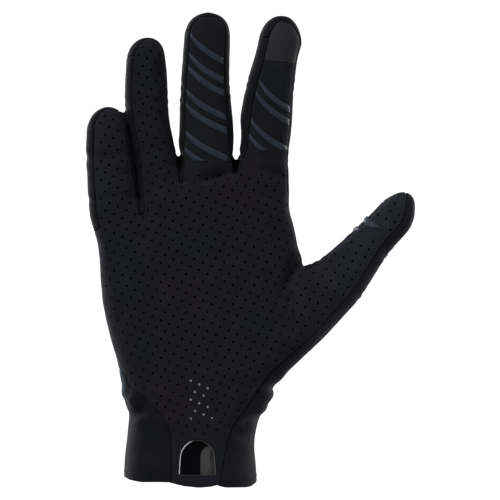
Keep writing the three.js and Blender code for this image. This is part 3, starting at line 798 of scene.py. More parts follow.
def gusset_outlines(i):
    """Outlines of one gusset: a half of each of its two fingers and its foot."""
    names = list(DIGITS)
    fork = FORKS[i]
    foot = np.array([on_palm((fork[0] + row[0], fork[1] + row[1])) for row in GUSSET_FOOT])
    return [digit_half(DIGITS[names[i]], 1), digit_half(DIGITS[names[i + 1]], -1), foot]


def middle_of(x, z):
    """y of the surface between front and back, which follows the fingers and the thumb."""
    curl = max(digit["curl"] for name, digit in DIGITS.items() if name != "thumb") * FINGER_DEPTH
    up = (z - CUFF_LENGTH) / PALM_LENGTH
    bend = -curl * np.maximum(0, (up - BEND_FROM) / BEND_OVER) ** 2
    beside = smoothstep(x, THUMB_FROM * PALM_WIDTH, THUMB_FULL * PALM_WIDTH)
    out = beside * (1 - smoothstep(up, THUMB_TOP, THUMB_END))
    thumb = DIGITS["thumb"]
    lean = -(thumb["forward"] + thumb["curl"] * THUMB_LEAN) * FINGER_DEPTH
    return bend + (lean - bend) * out


def front_field(points):
    """Below 0 on the palm panel with its finger and thumb fronts."""
    places = points[:, [0, 2]]
    flat = np.min([in_chunks(outline, places) for outline in FRONT_OUTLINES], axis=0)
    return np.maximum(flat, points[:, 1] - middle_of(points[:, 0], points[:, 2]))


def gusset_field(i):
    """Below 0 on one gusset, where the palm panel isn't."""
    outlines = gusset_outlines(i)
    fork = on_palm(FORKS[i])[1]

    def value(points):
        places = points[:, [0, 2]]
        flat = np.min([in_chunks(outline, places) for outline in outlines], axis=0)
        back = points[:, 1] - middle_of(points[:, 0], points[:, 2]) - GUSSET_BACK
        return np.maximum(np.maximum(flat, back), fork - points[:, 2])

    return value


def cuff_field(points):
    """Below 0 on the cuff."""
    return points[:, 2] - CUFF_LENGTH


def cap_field(points):
    """Below 0 on the touch cap, above its seam on the index finger."""
    index = DIGITS["index"]
    root, along, _ = digit_frame(index)
    seam = root + along * (reach_of(index) - CAP_LENGTH)
    past = (points - seam) @ along
    return np.maximum(-past, np.abs(points[:, 0] - seam[0]) - CAP_REACH)


def window_field(points):
    """Below 0 in the window."""
    return np.maximum(in_chunks(WINDOW_OUTLINE, points[:, [0, 2]]), points[:, 1])


def hem_field(points):
    """Below 0 under the hem. The back of the hem is straighter than the front."""
    front = np.interp(points[:, 0], HEM_ROWS["across"], HEM_ROWS["up"])
    back = np.interp(points[:, 0], *BACK_HEM)
    share = smoothstep(points[:, 1], *HEM_TURN)
    return points[:, 2] - front * (1 - share) - back * share


# Cutting a skin along lines


def cut(points, faces, owner, value, slack=0.3):
    """Adds the line where value(points) is 0. Points close to the line move on to it."""
    normals = normals_of(points, faces)
    field = value(points)
    close = np.flatnonzero(np.abs(field) < 3 * slack)
    if len(close):
        step = 0.05
        place = points[close]
        ahead = [value(place + step * axis) - value(place - step * axis) for axis in np.eye(3)]
        slope = np.stack([difference / (2 * step) for difference in ahead], axis=1)
        slope -= normals[close] * (slope * normals[close]).sum(1, keepdims=True)
        steep = (slope**2).sum(1)
        good = steep > 0.04
        move = np.where(good, -field[close] / np.where(good, steep, 1), 0)[:, None] * slope
        near = good & (np.linalg.norm(move, axis=1) < slack)
        points = points.copy()
        points[close[near]] += move[near]
        field[close[near]] = 0.0
    sign = np.sign(field).astype(int)
    edges, which = np.unique(np.sort(ends_of(faces), axis=1), axis=0, return_inverse=True)
    which = which.reshape(3, -1).T
    crossed = sign[edges[:, 0]] * sign[edges[:, 1]] < 0
    a, b = points[edges[crossed, 0]], points[edges[crossed, 1]]
    value_a, value_b = field[edges[crossed, 0]], field[edges[crossed, 1]]
    for _ in range(2):
        t = (value_a / (value_a - value_b))[:, None]
        middle = a + (b - a) * t
        here = value(middle)
        same = (np.sign(here) == np.sign(value_a))[:, None]
        a, b = np.where(same, middle, a), np.where(same, b, middle)
        value_a, value_b = np.where(same[:, 0], here, value_a), np.where(same[:, 0], value_b, here)
        value_a = np.where(value_a == value_b, value_b + 1e-9, value_a)
    added = np.full(len(edges), -1)
    added[crossed] = len(points) + np.arange(crossed.sum())
    points = np.concatenate([points, middle])
    marks = added[which]
    hits = (marks >= 0).sum(1)
    keep = hits == 0
    new_faces, new_owner = [faces[keep]], [owner[keep]]
    for turn in range(3):
        one, two, three = np.roll(np.arange(3), -turn)
        first, second, third = faces[:, one], faces[:, two], faces[:, three]
        edge_a, edge_b, edge_c = marks[:, one], marks[:, two], marks[:, three]
        both = (hits == 2) & (edge_b < 0)
        new_faces += [
            np.stack([first, edge_a, edge_c], 1)[both],
            np.stack([edge_a, second, third], 1)[both],
            np.stack([edge_a, third, edge_c], 1)[both],
        ]
        new_owner += [owner[both]] * 3
        single = (hits == 1) & (edge_b >= 0)
        new_faces += [
            np.stack([first, second, edge_b], 1)[single],
            np.stack([first, edge_b, third], 1)[single],
        ]
        new_owner += [owner[single]] * 2
    return points, np.concatenate(new_faces), np.concatenate(new_owner)


def neighbours(faces):
    """Pairs of triangles that share an edge, and the two points of that edge."""
    ends = ends_of(faces)
    face = np.tile(np.arange(len(faces)), 3)
    low, high = ends.min(1), ends.max(1)
    order = np.lexsort((high, low))
    low, high, face = low[order], high[order], face[order]
    same = (low[1:] == low[:-1]) & (high[1:] == high[:-1])
    return face[:-1][same], face[1:][same], low[:-1][same], high[:-1][same]


def without_crumbs(faces, kind):
    """Kinds of the triangles, with each small island given to what surrounds it."""
    one, two, _, _ = neighbours(faces)
    for _ in range(3):
        island = np.arange(len(faces))
        same = kind[one] == kind[two]
        while True:
            before = island.copy()
            np.minimum.at(island, one[same], island[two[same]])
            np.minimum.at(island, two[same], island[one[same]])
            island = island[island]
            if np.array_equal(before, island):
                break
        size = np.bincount(island, minlength=len(faces))
        biggest = {k: size[island[kind == k]].max() for k in np.unique(kind)}
        small = np.array([size[i] < CRUMB * biggest[k] for i, k in zip(island, kind)])
        if not small.any():
            break
        pairs = np.concatenate([np.stack([one, two], 1), np.stack([two, one], 1)])
        pairs = pairs[small[pairs[:, 0]] & ~small[pairs[:, 1]]]
        for lost in np.unique(island[pairs[:, 0]]):
            around = kind[pairs[island[pairs[:, 0]] == lost, 1]]
            kind[island == lost] = np.bincount(around - WINDOW_KIND).argmax() + WINDOW_KIND
    return kind


def tree_of(starts, ends, spacing=0.12):
    """Search tree over points set closely along lines."""
    spots = []
    for start, end in zip(starts, ends):
        count = max(int(np.linalg.norm(end - start) / spacing), 1)
        spots.append(start + (end - start) * (np.arange(count)[:, None] / count))
    spots = np.concatenate([*spots, ends])
    tree = kdtree.KDTree(len(spots))
    for i, spot in enumerate(spots):
        tree.insert(spot, i)
    tree.balance()
    return tree


def line_distance(tree, reach=6.0):
    """Distance to the lines of a tree, up to a reach."""

    def value(points):
        return np.array([min(tree.find(point)[2], reach) for point in points])

    return value


# Skin of the whole glove


def fold_height(points):
    """Height of the folds and swellings at each point."""
    height = np.zeros(len(points))
    places = points[:, [0, 2]]
    middle = points[:, 1] - middle_of(points[:, 0], points[:, 2])
    for side, width, rise, line in FOLDS:
        facing = smoothstep(middle if side == "back" else -middle, -3, 3)
        line = np.array(line, float)
        best = np.full(len(points), 1e9)
        along = np.zeros(len(points))
        lengths = np.linalg.norm(np.diff(line, axis=0), axis=1)
        total = lengths.sum()
        for i, length in enumerate(lengths):
            edge = line[i + 1] - line[i]
            t = np.clip(((places - line[i]) @ edge) / (edge @ edge), 0, 1)
            away = np.linalg.norm(places - line[i] - edge * t[:, None], axis=1)
            closer = away < best
            best = np.where(closer, away, best)
            along = np.where(closer, (lengths[:i].sum() + t * length) / total, along)
        taper = smoothstep(along, -0.25, 0.22) * (1 - smoothstep(along, 0.78, 1.25))
        height += facing * rise * taper * np.exp(-((best / width) ** 2))
    return height * sizes().fold_strength


def joint_height(points):
    """Small rolls of cloth over the joints of the digits, and pads between them."""
    height = np.zeros(len(points))
    for name, digit in DIGITS.items():
        root, along, sideways = digit_frame(digit)
        reach = reach_of(digit)
        offset = points - root
        at = offset @ along / reach
        across = np.abs(offset @ sideways)
        low, high, breadth = THUMB_ROLLS if name == "thumb" else FINGER_ROLLS
        near = (across < digit["width"] * FINGER_WIDTH * breadth) * (at < 1.02)
        inside = smoothstep(at, low, high) * near
        front = smoothstep(-(points[:, 1] - middle_of(points[:, 0], points[:, 2])), -2, 3)
        for joint in JOINTS[name]:
            far = (at - joint) * reach
            height -= inside * front * 0.42 * np.exp(-((far / 1.7) ** 2))
            height += inside * front * 0.2 * np.exp(-(((np.abs(far) - 3.6) / 2.0) ** 2))
            height += inside * (1 - front) * 0.3 * np.cos(far * 1.5) * np.exp(-((far / 4.5) ** 2))
    return height


def cloth_noise(points):
    """Uneven surface of worn cloth, slow and quick."""
    elsewhere = Vector((9, 4, 2))
    slow = [noise.noise(Vector(point) / SLOW_WAVE) for point in points]
    quick = [noise.noise(Vector(point) / QUICK_WAVE + elsewhere) for point in points * (0.75, 1.0, 1.2)]
    return SLOW_HEIGHT * np.array(slow) + QUICK_HEIGHT * np.array(quick)


def meeting(name, points):
    """Leans the little finger on the ring finger, where the two touch."""
    if name != "pinky":
        return points
    at = np.linspace(0, 1, 60)
    right = digit_edge(DIGITS["pinky"], at, 1, 0.0)
    left = digit_edge(DIGITS["ring"], at, -1, 0.0)
    z = points[..., 2]
    right_x = np.interp(z, right[:, 1], right[:, 0])
    left_x = np.interp(z, left[:, 1], left[:, 0])
    pull = np.clip(left_x - right_x + MEET_OVERLAP, 0, MEET_MOST)
    pull = pull * smoothstep(z, *MEET_FROM) * (1 - smoothstep(z, *MEET_TO))
    points = points.copy()
    points[..., 0] += pull * smoothstep(points[..., 0], right_x - 9, right_x - 1)
    return points


def nudged(name, points):
    """A shape with its outline moved in places."""
    points = points.copy()
    for shape, x, z, radius, right, up in NUDGES:
        if shape == name:
            away = np.hypot(points[..., 0] - x, points[..., 2] - z)
            share = np.exp(-((away / radius) ** 2))
            points[..., 0] += right * share
            points[..., 2] += up * share
    return points


@lru_cache(maxsize=1)
def glove_skin():
    """Smooth skin round hand and digits, with its folds: points and triangles."""
    rings, start, end = hand_rings(sides=96, count=90)
    shapes = [loft(nudged("hand", rings), start, end)]
    for name, digit in DIGITS.items():
        rings, start, end = digit_rings(digit, sides=44, count=46)
        shapes.append(loft(nudged(name, meeting(name, rings)), start, end))
    skin = object_of("skin", mesh_of("skin", *joined(shapes)))
    remesh = skin.modifiers.new("even facets", "REMESH")
    remesh.mode = "VOXEL"
    remesh.voxel_size = sizes().fineness
    remesh.adaptivity = 0.0
    settled(skin)
    points, faces = triangles_of(skin.data)
    bpy.data.objects.remove(skin)
    points = relaxed(points, faces, rounds=7)
    normals = normals_of(points, faces)
    rise = REMESH_LOSS + fold_height(points) + joint_height(points)
    points = points + normals * rise[:, None]
    points = points + normals * cloth_noise(points)[:, None]
    return relaxed(points, faces, rounds=1), faces


@lru_cache(maxsize=1)
def panels():
    """The skin cut along its seams: points, normals, triangles, kinds, seam distances and their tree."""
    points, faces = glove_skin()
    owner = np.arange(len(faces))
    gussets = [gusset_field(i) for i in range(len(GUSSETS))]
    for value in (hem_field, front_field, *gussets, cuff_field, cap_field, window_field):
        points, faces, owner = cut(points, faces, owner, value)
    middles = points[faces].mean(axis=1)
    kind = np.full(len(faces), PANELS.index("back_panel"))
    kind[cuff_field(middles) < 0] = PANELS.index("cuff")
    for name, value in reversed(list(zip(GUSSETS, gussets))):
        kind[value(middles) < 0] = PANELS.index(name)
    front = front_field(middles) < 0
    kind[front] = PANELS.index("palm_panel")
    kind[front & (cap_field(middles) < 0)] = PANELS.index("touch_cap")
    kind[hem_field(middles) < 0] = HEM_KIND
    kind[window_field(middles) < 0] = WINDOW_KIND
    kind = without_crumbs(faces, kind)
    one, two, start, end = neighbours(faces)
    seam = kind[one] != kind[two]
    tree = tree_of(points[start[seam]], points[end[seam]])
    distance = line_distance(tree)
    radius = sizes().seam_round / MM
    for level in (radius, radius * 0.35):
        points, faces, kind = cut(
            points, faces, kind, lambda p, level=level: distance(p) - level, slack=level * 0.3
        )
    kept = kind >= 0
    normals = normals_of(points, faces)
    return points, normals, faces[kept], kind[kept], distance(points), tree


def behind_label(place):
    """Which points of the palm panel have the white label behind them."""
    x, z = place[..., 0] - CARE_LABEL["left"], place[..., 2] - CARE_LABEL["foot"]
    beside = (x > -LABEL_MARGIN) & (x < CARE_LABEL["width"] + LABEL_MARGIN)
    along = (z > -LABEL_MARGIN) & (z < CARE_LABEL["height"] + LABEL_MARGIN)
    return beside & along & (place[..., 1] < 0)


def piece_arrays(name):
    """Outer points, inner points and triangles of one panel, with its rolled edge and its gap."""
    points, normals, faces, kind, distance, _ = panels()
    mine = faces[kind == PANELS.index(name)]
    used = np.unique(mine)
    index = np.full(len(points), -1)
    index[used] = np.arange(len(used))
    mine = index[mine]
    place, normal, away = points[used], normals[used], distance[used]
    ends = ends_of(mine)
    codes = ends[:, 0].astype(np.int64) * len(used) + ends[:, 1]
    backwards = ends[:, 1].astype(np.int64) * len(used) + ends[:, 0]
    border = ends[~np.isin(codes, backwards)]
    inward = np.zeros_like(place)
    weight = np.zeros(len(place))
    middles = place[mine].mean(axis=1)
    on_edge = np.zeros(len(place), bool)
    on_edge[border.ravel()] = True
    for i in range(3):
        corner = mine[:, i]
        np.add.at(inward, corner, middles - place[corner])
        np.add.at(weight, corner, 1)
    inward /= np.maximum(weight, 1)[:, None]
    inward -= normal * (inward * normal).sum(1, keepdims=True)
    inward /= np.maximum(np.linalg.norm(inward, axis=1, keepdims=True), 1e-6)
    radius = sizes().seam_round / MM
    in_round = np.clip(radius - away, 0, radius)
    drop = radius - np.sqrt(np.maximum(radius**2 - in_round**2, 0))
    # The seam at the top of the cuff is nearly flat and has no gap
    drop *= 1 - 0.85 * (np.abs(place[:, 2] - CUFF_LENGTH) < 1)
    straight = np.abs(place[:, 2] - CUFF_LENGTH) < 0.01
    shift = inward * (on_edge * ~straight * sizes().seam_gap / MM / 2)[:, None]
    outer = place + shift - normal * drop[:, None]
    sheet = np.full(len(place), SUEDE if name == "palm_panel" else WALL)
    if name == "palm_panel":
        sheet[behind_label(place)] = SUEDE_AT_LABEL
    inner = place - normal * (sheet - 0.25 * drop)[:, None]
    return outer, inner, mine, border


def panel_object(title, name):
    """Object of one panel: its outside, its inside and the rims between them."""
    outer, inner, faces, border = piece_arrays(name)
    count = len(outer)
    rims = np.concatenate([
        np.stack([border[:, 1], border[:, 0], border[:, 0] + count], 1),
        np.stack([border[:, 1], border[:, 0] + count, border[:, 1] + count], 1),
    ])
    everything = np.concatenate([faces, faces[:, ::-1] + count, rims])
    mesh = mesh_of(title, np.concatenate([outer, inner]), everything)
    mesh.shade_smooth()
    return object_of(title, mesh)


# Shader maths


class Wire:
    """A socket of a node tree, with arithmetic that adds nodes."""

    def __init__(self, tree, socket):
        self.tree = tree
        self.socket = socket

    def node(self, kind, settings=None, **inputs):
        """Adds a node and returns its first output. An input is i and its number, or its name."""
        added = self.tree.nodes.new(kind)
        for name, setting in (settings or {}).items():
            setattr(added, name, setting)
        for name, value in inputs.items():
            numbered = name[0] == "i" and name[1:].isdigit()
            key = int(name[1:]) if numbered else name.replace("_", " ")
            target = added.inputs[key]
            if isinstance(value, Wire):
                self.tree.links.new(value.socket, target)
            else:
                target.default_value = value
        return Wire(self.tree, added.outputs[0])

    def maths(self, operation, other=0.0):
        """One Math node on this value."""
        return self.node("ShaderNodeMath", {"operation": operation}, i0=self, i1=other)

    def __add__(self, other):
        return self.maths("ADD", other)

    __radd__ = __add__

    def __mul__(self, other):
        return self.maths("MULTIPLY", other)

    __rmul__ = __mul__

    def __sub__(self, other):
        return self.maths("SUBTRACT", other)

    def __rsub__(self, other):
        return self.node("ShaderNodeMath", {"operation": "SUBTRACT"}, i0=other, i1=self)

    def clamped(self, low, high):
        """0 at low, 1 at high and straight between."""
        return self.node(
            "ShaderNodeMapRange", {"clamp": True},
            Value=self, From_Min=low, From_Max=high, To_Min=0.0, To_Max=1.0,
        )

    def output(self, key):
        """Another output of the same node, by its name or number."""
        return Wire(self.tree, self.socket.node.outputs[key])

    def wave(self, length):
        """Wave along this value, from -1 to 1."""
        return (self * (2 * math.pi / length)).maths("SINE")

    def into(self, socket):
        """Joins this value to a socket."""
        self.tree.links.new(self.socket, socket)


def opaque(colour):
    """A colour for a socket: three numbers get full alpha, and a wire stays as it is."""
    return colour if isinstance(colour, Wire) else (*colour, 1.0)


def mixed(share, one, two):
    """Colour between two colours."""
    blend = {"data_type": "RGBA"}
    return share.node("ShaderNodeMix", blend, i0=share, i6=opaque(one), i7=opaque(two)).output(2)


class Finish:
    """A material whose pattern lies in millimetres on the object's own coordinates."""

    def __init__(self, name, roughness, specular, sheen=0.0, sheen_roughness=0.5, tint=(1, 1, 1)):
        self.material = bpy.data.materials.new(name)
        self.material.use_nodes = True
        tree = self.material.node_tree
        self.inputs = tree.nodes["Principled BSDF"].inputs
        self.inputs["Roughness"].default_value = roughness
        self.inputs["Specular IOR Level"].default_value = specular
        self.inputs["Sheen Weight"].default_value = sheen
        self.inputs["Sheen Roughness"].default_value = sheen_roughness
        self.inputs["Sheen Tint"].default_value = opaque(tint)
        start = Wire(tree, None).node("ShaderNodeTexCoord").output("Object")
        to_mm = {"operation": "SCALE"}
        self.place = start.node("ShaderNodeVectorMath", to_mm, i0=start, Scale=1 / MM)

    def axes(self):
        """The three coordinates in millimetres."""
        split = self.place.node("ShaderNodeSeparateXYZ", None, i0=self.place)
        return [split.output(name) for name in "XYZ"]

    def noise(self, size, detail=2.0, stretch=(1.0, 1.0, 1.0)):
        """Cloudy value between 0 and 1, with patches of a size in millimetres."""
        product = {"operation": "MULTIPLY"}
        scaled = self.place.node("ShaderNodeVectorMath", product, i0=self.place, i1=stretch)
        return scaled.node("ShaderNodeTexNoise", None, Vector=scaled, Scale=1 / size, Detail=detail)

    def colour(self, wire):
        """Sets the base colour."""
        wire.into(self.inputs["Base Color"])

    def roughness(self, wire):
        """Sets a roughness that changes over the surface."""
        wire.into(self.inputs["Roughness"])

    def relief(self, *layers):
        """Bump from layers of (height wire, height in millimetres)."""
        bump = None
        for wire, height in layers:
            before = {} if bump is None else {"Normal": bump}
            bump = wire.node("ShaderNodeBump", None, Height=wire, Distance=height * MM, **before)
        bump.into(self.inputs["Normal"])


def scaled_colour(colour, factor):
    """A colour made lighter or darker."""
    return tuple(min(channel * factor, 1.0) for channel in colour)


def shaded(share, colour, dark, light):
    """A colour from its dark to its light shade."""
    return mixed(share, scaled_colour(colour, dark), scaled_colour(colour, light))


def suede():
    """Perforated synthetic suede: short nap in soft patches, with painted light that makes it paler on
    the thumb and the outer side.
    """
    finish = Finish("palm suede", 0.92, 0.12, 0.05, 0.55, tint=(0.86, 0.8, 1.0))
    red, green, blue = colours().suede
    cool = (red * 0.78, green * 1.08, blue * 1.02)
    patches = finish.noise(9.0, 3.0).clamped(0.3, 0.7)
    nap = finish.noise(0.55, 2.0, (1.0, 1.0, 1.7))
    shade = patches * 0.5 + nap.clamped(0.3, 0.7) * 0.5
    brushed = finish.noise(34.0, 1.0).clamped(0.38, 0.62)
    palm = mixed(brushed, shaded(shade, (red, green, blue), 0.6, 1.45), shaded(shade, cool, 0.6, 1.45))
    x, _, z = finish.axes()
    # Painted light: the thumb and the outer side by the little finger get a lit copy of the cool tone,
    # 1.5 to 3.1 times as light.
    thumb = x.clamped(46.0, 84.0)
    pinky = (x * -1.0).clamped(29.0, 44.0) * z.clamped(118.0, 140.0) * 0.4
    finish.colour(mixed(thumb + pinky, palm, shaded(shade, cool, 1.5, 3.1)))
    finish.relief((finish.noise(2.6, 2.0), 0.12), (nap, 0.1))
    return finish.material


def loops(finish, pitch, row):
    """Height of a plain knit: columns of loops that lean to and fro, in millimetres."""
    x, _, z = finish.axes()
    columns = (x + z.wave(row) * (pitch * 0.22)).wave(pitch)
    rows = (z * (2 * math.pi / row) + 0.8).maths("SINE")
    return columns * 0.35 + rows * 0.25 + 0.5


def jersey():
    """Smooth stretch jersey with a fine knit, a plain slate area at the outer wrist, and painted light
    on the front of the thumb.
    """
    finish = Finish("stretch jersey", 0.85, 0.1, 0.045, 0.4, tint=(0.92, 0.92, 1.0))
    patches = finish.noise(14.0, 2.0).clamped(0.25, 0.75)
    x, y, z = finish.axes()
    slant = z + y * -0.45
    outer = (x * -1.0).clamped(26.0, 26.3) * (y + x * 0.5).clamped(-25.0, -24.7)
    area = outer * slant.clamped(46.0, 46.3) * (1 - slant.clamped(61.0, 61.3))
    # On the front of the thumb the jersey takes the suede's hue, with painted light that makes it 1.2 to
    # 1.7 times as light.
    thumb_front_painted_light = x.clamped(38.0, 62.0) * (1 - y.clamped(-11.0, -1.0))
    plain = shaded(patches, tuple(colours().jersey), 0.8, 1.25)
    thumb = shaded(patches, tuple(colours().suede), 1.2, 1.7)
    finish.colour(mixed(area, mixed(thumb_front_painted_light, plain, thumb), tuple(colours().print)))
    finish.relief((loops(finish, 0.62, 0.52), 0.06), (finish.noise(3.2, 2.0), 0.1))
    return finish.material


def rib_knit():
    """Soft knit of the cuff: fine ribs that run up and down, in a cool and a warm black."""
    finish = Finish("cuff knit", 0.9, 0.1, 0.05, 0.5, tint=(0.88, 0.93, 1.0))
    ribs = loops(finish, 0.9, 0.7)
    shade = finish.noise(10.0, 2.0).clamped(0.25, 0.75) * 0.5 + ribs * 0.5
    warm = shaded(shade, tuple(colours().suede), 0.72, 1.2)
    cool = shaded(shade, tuple(colours().knit), 0.75, 1.35)
    to_thumb = finish.axes()[0].clamped(0.0, 24.0)
    # Share of the warm black: random patches, with more of it towards the thumb side.
    worn = finish.noise(19.0, 1.0).clamped(0.42, 0.6) * 0.6 + to_thumb * 0.4
    finish.colour(mixed(worn, cool, warm))
    finish.relief((ribs, 0.1), (finish.noise(4.0, 2.0), 0.15))
    return finish.material


def touch_fabric():
    """Fine smooth suede of the touch cap."""
    finish = Finish("touch fabric", 0.75, 0.2, 0.06, 0.45)
    grain = finish.noise(0.35, 2.0)
    finish.colour(shaded(grain.clamped(0.3, 0.7), tuple(colours().touch), 0.85, 1.15))
    finish.relief((grain, 0.04))
    return finish.material


def silicone():
    """Printed silicone, half gloss, slightly uneven."""
    finish = Finish("silicone", 0.5, 0.13)
    grain = finish.noise(1.6, 2.0)
    finish.colour(shaded(grain.clamped(0.3, 0.7), tuple(colours().silicone), 0.88, 1.12))
    finish.roughness(grain * 0.2 + 0.42)
    finish.relief((grain, 0.05), (finish.noise(0.4, 1.0), 0.02))
    return finish.material


def cut_edge():
    """Bound edge of the window: pale on its left (painted highlight), grey on its right and dark at its
    foot (painted shade).
    """
    finish = Finish("window binding", 0.55, 0.4, 0.1)
    base = tuple(colours().binding)
    dark = scaled_colour(base, 0.02)
    x, _, z = finish.axes()
    weave = finish.noise(0.3, 1.0)
    # Painted highlight: the pale binding colour, kept on the left side of the edge.
    pale = shaded(weave.clamped(0.3, 0.7), base, 0.9, 1.1)
    # Painted shade: darkened copies of the binding colour, grey low on the right side and nearly black
    # above it and at the foot.
    grey = mixed(z.clamped(20.0, 22.0), scaled_colour(base, 0.1), dark)
    sides = mixed(x.clamped(-1.2, 0.8), pale, grey)
    finish.colour(mixed(1 - z.clamped(6.7, 7.1), sides, dark))
    finish.relief((weave, 0.05))
    return finish.material


def thread():
    """Twisted sewing thread, a little darker than the cuff."""
    finish = Finish("hem thread", 0.9, 0.08, 0.03)
    x, _, z = finish.axes()
    twist = (x + z).wave(0.3) * 0.5 + 0.5
    finish.colour(shaded(twist, tuple(colours().knit), 0.32, 0.48))
    finish.relief((twist, 0.03))
    return finish.material


def satin(name, colour):
    """Smooth woven label."""
    finish = Finish(name, 0.5, 0.4, 0.15)
    weave = (finish.axes()[2].wave(0.35) * 0.5 + 0.5) * 0.5 + finish.noise(0.5, 1.0) * 0.5
    finish.colour(shaded(weave.clamped(0.2, 0.8), tuple(colour), 0.92, 1.08))
    finish.relief((weave, 0.03))
    return finish.material


def dressed(obj, material, slot_name, *nodes):
    """Gives a finished piece its material and its body, and hides the solids that it stands for; the
    slot name is not used.
    """
    obj.data.materials.clear()
    obj.data.materials.append(material)
    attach(obj, "root")
    if nodes:
        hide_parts(*nodes)


# Geometry Nodes


class NodePlan:
    """A Geometry Nodes tree with named inputs, put on an object and turned into its mesh."""

    def __init__(self, name, **inputs):
        self.tree = bpy.data.node_groups.new(name, "GeometryNodeTree")
        self.tree.interface.new_socket("Geometry", in_out="INPUT", socket_type="NodeSocketGeometry")
        self.tree.interface.new_socket("Geometry", in_out="OUTPUT", socket_type="NodeSocketGeometry")
        self.keys = {}
        for label, kind in inputs.items():
            title = label.replace("_", " ")
            socket = self.tree.interface.new_socket(title, in_out="INPUT", socket_type=kind)
            self.keys[label] = socket.identifier
        self.entry = self.tree.nodes.new("NodeGroupInput")
        self.exit = self.tree.nodes.new("NodeGroupOutput")

    def node(self, kind, settings=None, **inputs):
        """Adds a node with its settings and inputs, and returns it."""
        added = self.tree.nodes.new(kind)
        for name, setting in (settings or {}).items():
            setattr(added, name, setting)
        for name, value in inputs.items():
            target = added.inputs[name.replace("_", " ")]
            if isinstance(value, bpy.types.NodeSocket):
                self.tree.links.new(value, target)
            else:
                target.default_value = value
        return added

    def inlet(self, label):
        """Output of the group input for a named input."""
        return self.entry.outputs[label.replace("_", " ")]

    def finish(self, geometry, material):
        """Ends the tree in realized instances and a material."""
        real = self.node("GeometryNodeRealizeInstances", Geometry=geometry)
        painted = self.node("GeometryNodeSetMaterial", Geometry=real.outputs[0], Material=material)
        self.tree.links.new(painted.outputs[0], self.exit.inputs[0])

    def apply(self, obj, **values):
        """Puts the tree on an object, sets its inputs and keeps the result as a plain mesh."""
        modifier = obj.modifiers.new(self.tree.name, "NODES")
        modifier.node_group = self.tree
        for label, value in values.items():
            modifier[self.keys[label]] = value
        return settled(obj)


def cloud_of(title, spots, **vectors):
    """Object of loose points with vectors on them."""
    cloud = bpy.data.meshes.new(title)
    cloud.from_pydata((np.asarray(spots) * MM).tolist(), [], [])
    for label, values in vectors.items():
        attribute = cloud.attributes.new(label, "FLOAT_VECTOR", "POINT")
        attribute.data.foreach_set("vector", np.asarray(values, float).ravel())
    return object_of(title, cloud)


def punched(panel, spots, aims, material):
    """Cuts a hole through a panel at each spot, along its aim."""
    places = cloud_of("hole places", spots, aim=aims)
    plan = NodePlan(
        "Perforations",
        Places="NodeSocketObject", Radius="NodeSocketFloat",
        Depth="NodeSocketFloat", Sides="NodeSocketInt",
    )
    info = plan.node(
        "GeometryNodeObjectInfo", {"transform_space": "RELATIVE"}, Object=plan.inlet("Places")
    )
    punch = plan.node(
        "GeometryNodeMeshCylinder", {"fill_type": "NGON"},
        Vertices=plan.inlet("Sides"), Radius=plan.inlet("Radius"), Depth=plan.inlet("Depth"),
    )
    heading = plan.node("GeometryNodeInputNamedAttribute", {"data_type": "FLOAT_VECTOR"}, Name="aim")
    turn = plan.node(
        "FunctionNodeAlignRotationToVector", {"axis": "Z"}, Vector=heading.outputs["Attribute"]
    )
    many = plan.node(
        "GeometryNodeInstanceOnPoints",
        Points=info.outputs["Geometry"], Instance=punch.outputs["Mesh"],
        Rotation=turn.outputs["Rotation"],
    )
    real = plan.node("GeometryNodeRealizeInstances", Geometry=many.outputs[0])
    cutter = plan.node("GeometryNodeMeshBoolean", {"operation": "DIFFERENCE", "solver": "MANIFOLD"})
    plan.tree.links.new(plan.entry.outputs[0], cutter.inputs["Mesh 1"])
    plan.tree.links.new(real.outputs[0], cutter.inputs["Mesh 2"])
    plan.finish(cutter.outputs["Mesh"], material)
    plan.apply(
        panel, Places=places, Radius=sizes().hole / 2, Depth=HOLE_PUNCH * MM, Sides=sizes().hole_sides
    )
    bpy.data.objects.remove(places)


def skin_tree():
    """Search tree over the uncut skin."""
    points, faces = glove_skin()
    return BVHTree.FromPolygons(points.tolist(), faces.tolist())


def on_front(tree, x, z):
    """Place and normal on the front of the skin, or on its nearest edge."""
    hit = tree.ray_cast(Vector((x, IN_FRONT, z)), Vector((0, 1, 0)))
    if hit[0] is None:
        hit = tree.find_nearest(Vector((x, float(middle_of(np.array(x), np.array(z))) - 2.0, z)))
    return np.array(hit[0]), np.array(hit[1])


def hole_places():
    """Places and aims of the perforations, on a slanting lattice seen from the front."""
    points, _, faces, kind, _, tree = panels()
    mine = faces[kind == PANELS.index("palm_panel")]
    surface = BVHTree.FromPolygons(points.tolist(), mine.tolist())
    skin_points, skin_faces = glove_skin()
    smooth = normals_of(skin_points, skin_faces)
    nearest = kdtree.KDTree(len(skin_points))
    for i, point in enumerate(skin_points):
        nearest.insert(point, i)
    nearest.balance()
    spots, aims = [], []
    for i in range(-40, 41):
        for j in range(-40, 61):
            x = HOLE_ORIGIN[0] + i * HOLE_STEP_A[0] + j * HOLE_STEP_B[0]
            z = HOLE_ORIGIN[1] + i * HOLE_STEP_A[1] + j * HOLE_STEP_B[1]
            if not perforated(x, z):
                continue
            hit = surface.ray_cast(Vector((x, IN_FRONT, z)), Vector((0, 1, 0)))
            if hit[0] is None or tree.find(hit[0])[2] < HOLE_CLEAR:
                continue
            normal = smooth[nearest.find(hit[0])[1]]
            if normal[1] > HOLE_FACING:
                continue
            spots.append(np.array(hit[0]))
            aims.append(np.array([0.0, -1.0, 0.0]) if behind_label(spots[-1]) else normal)
    return spots, aims


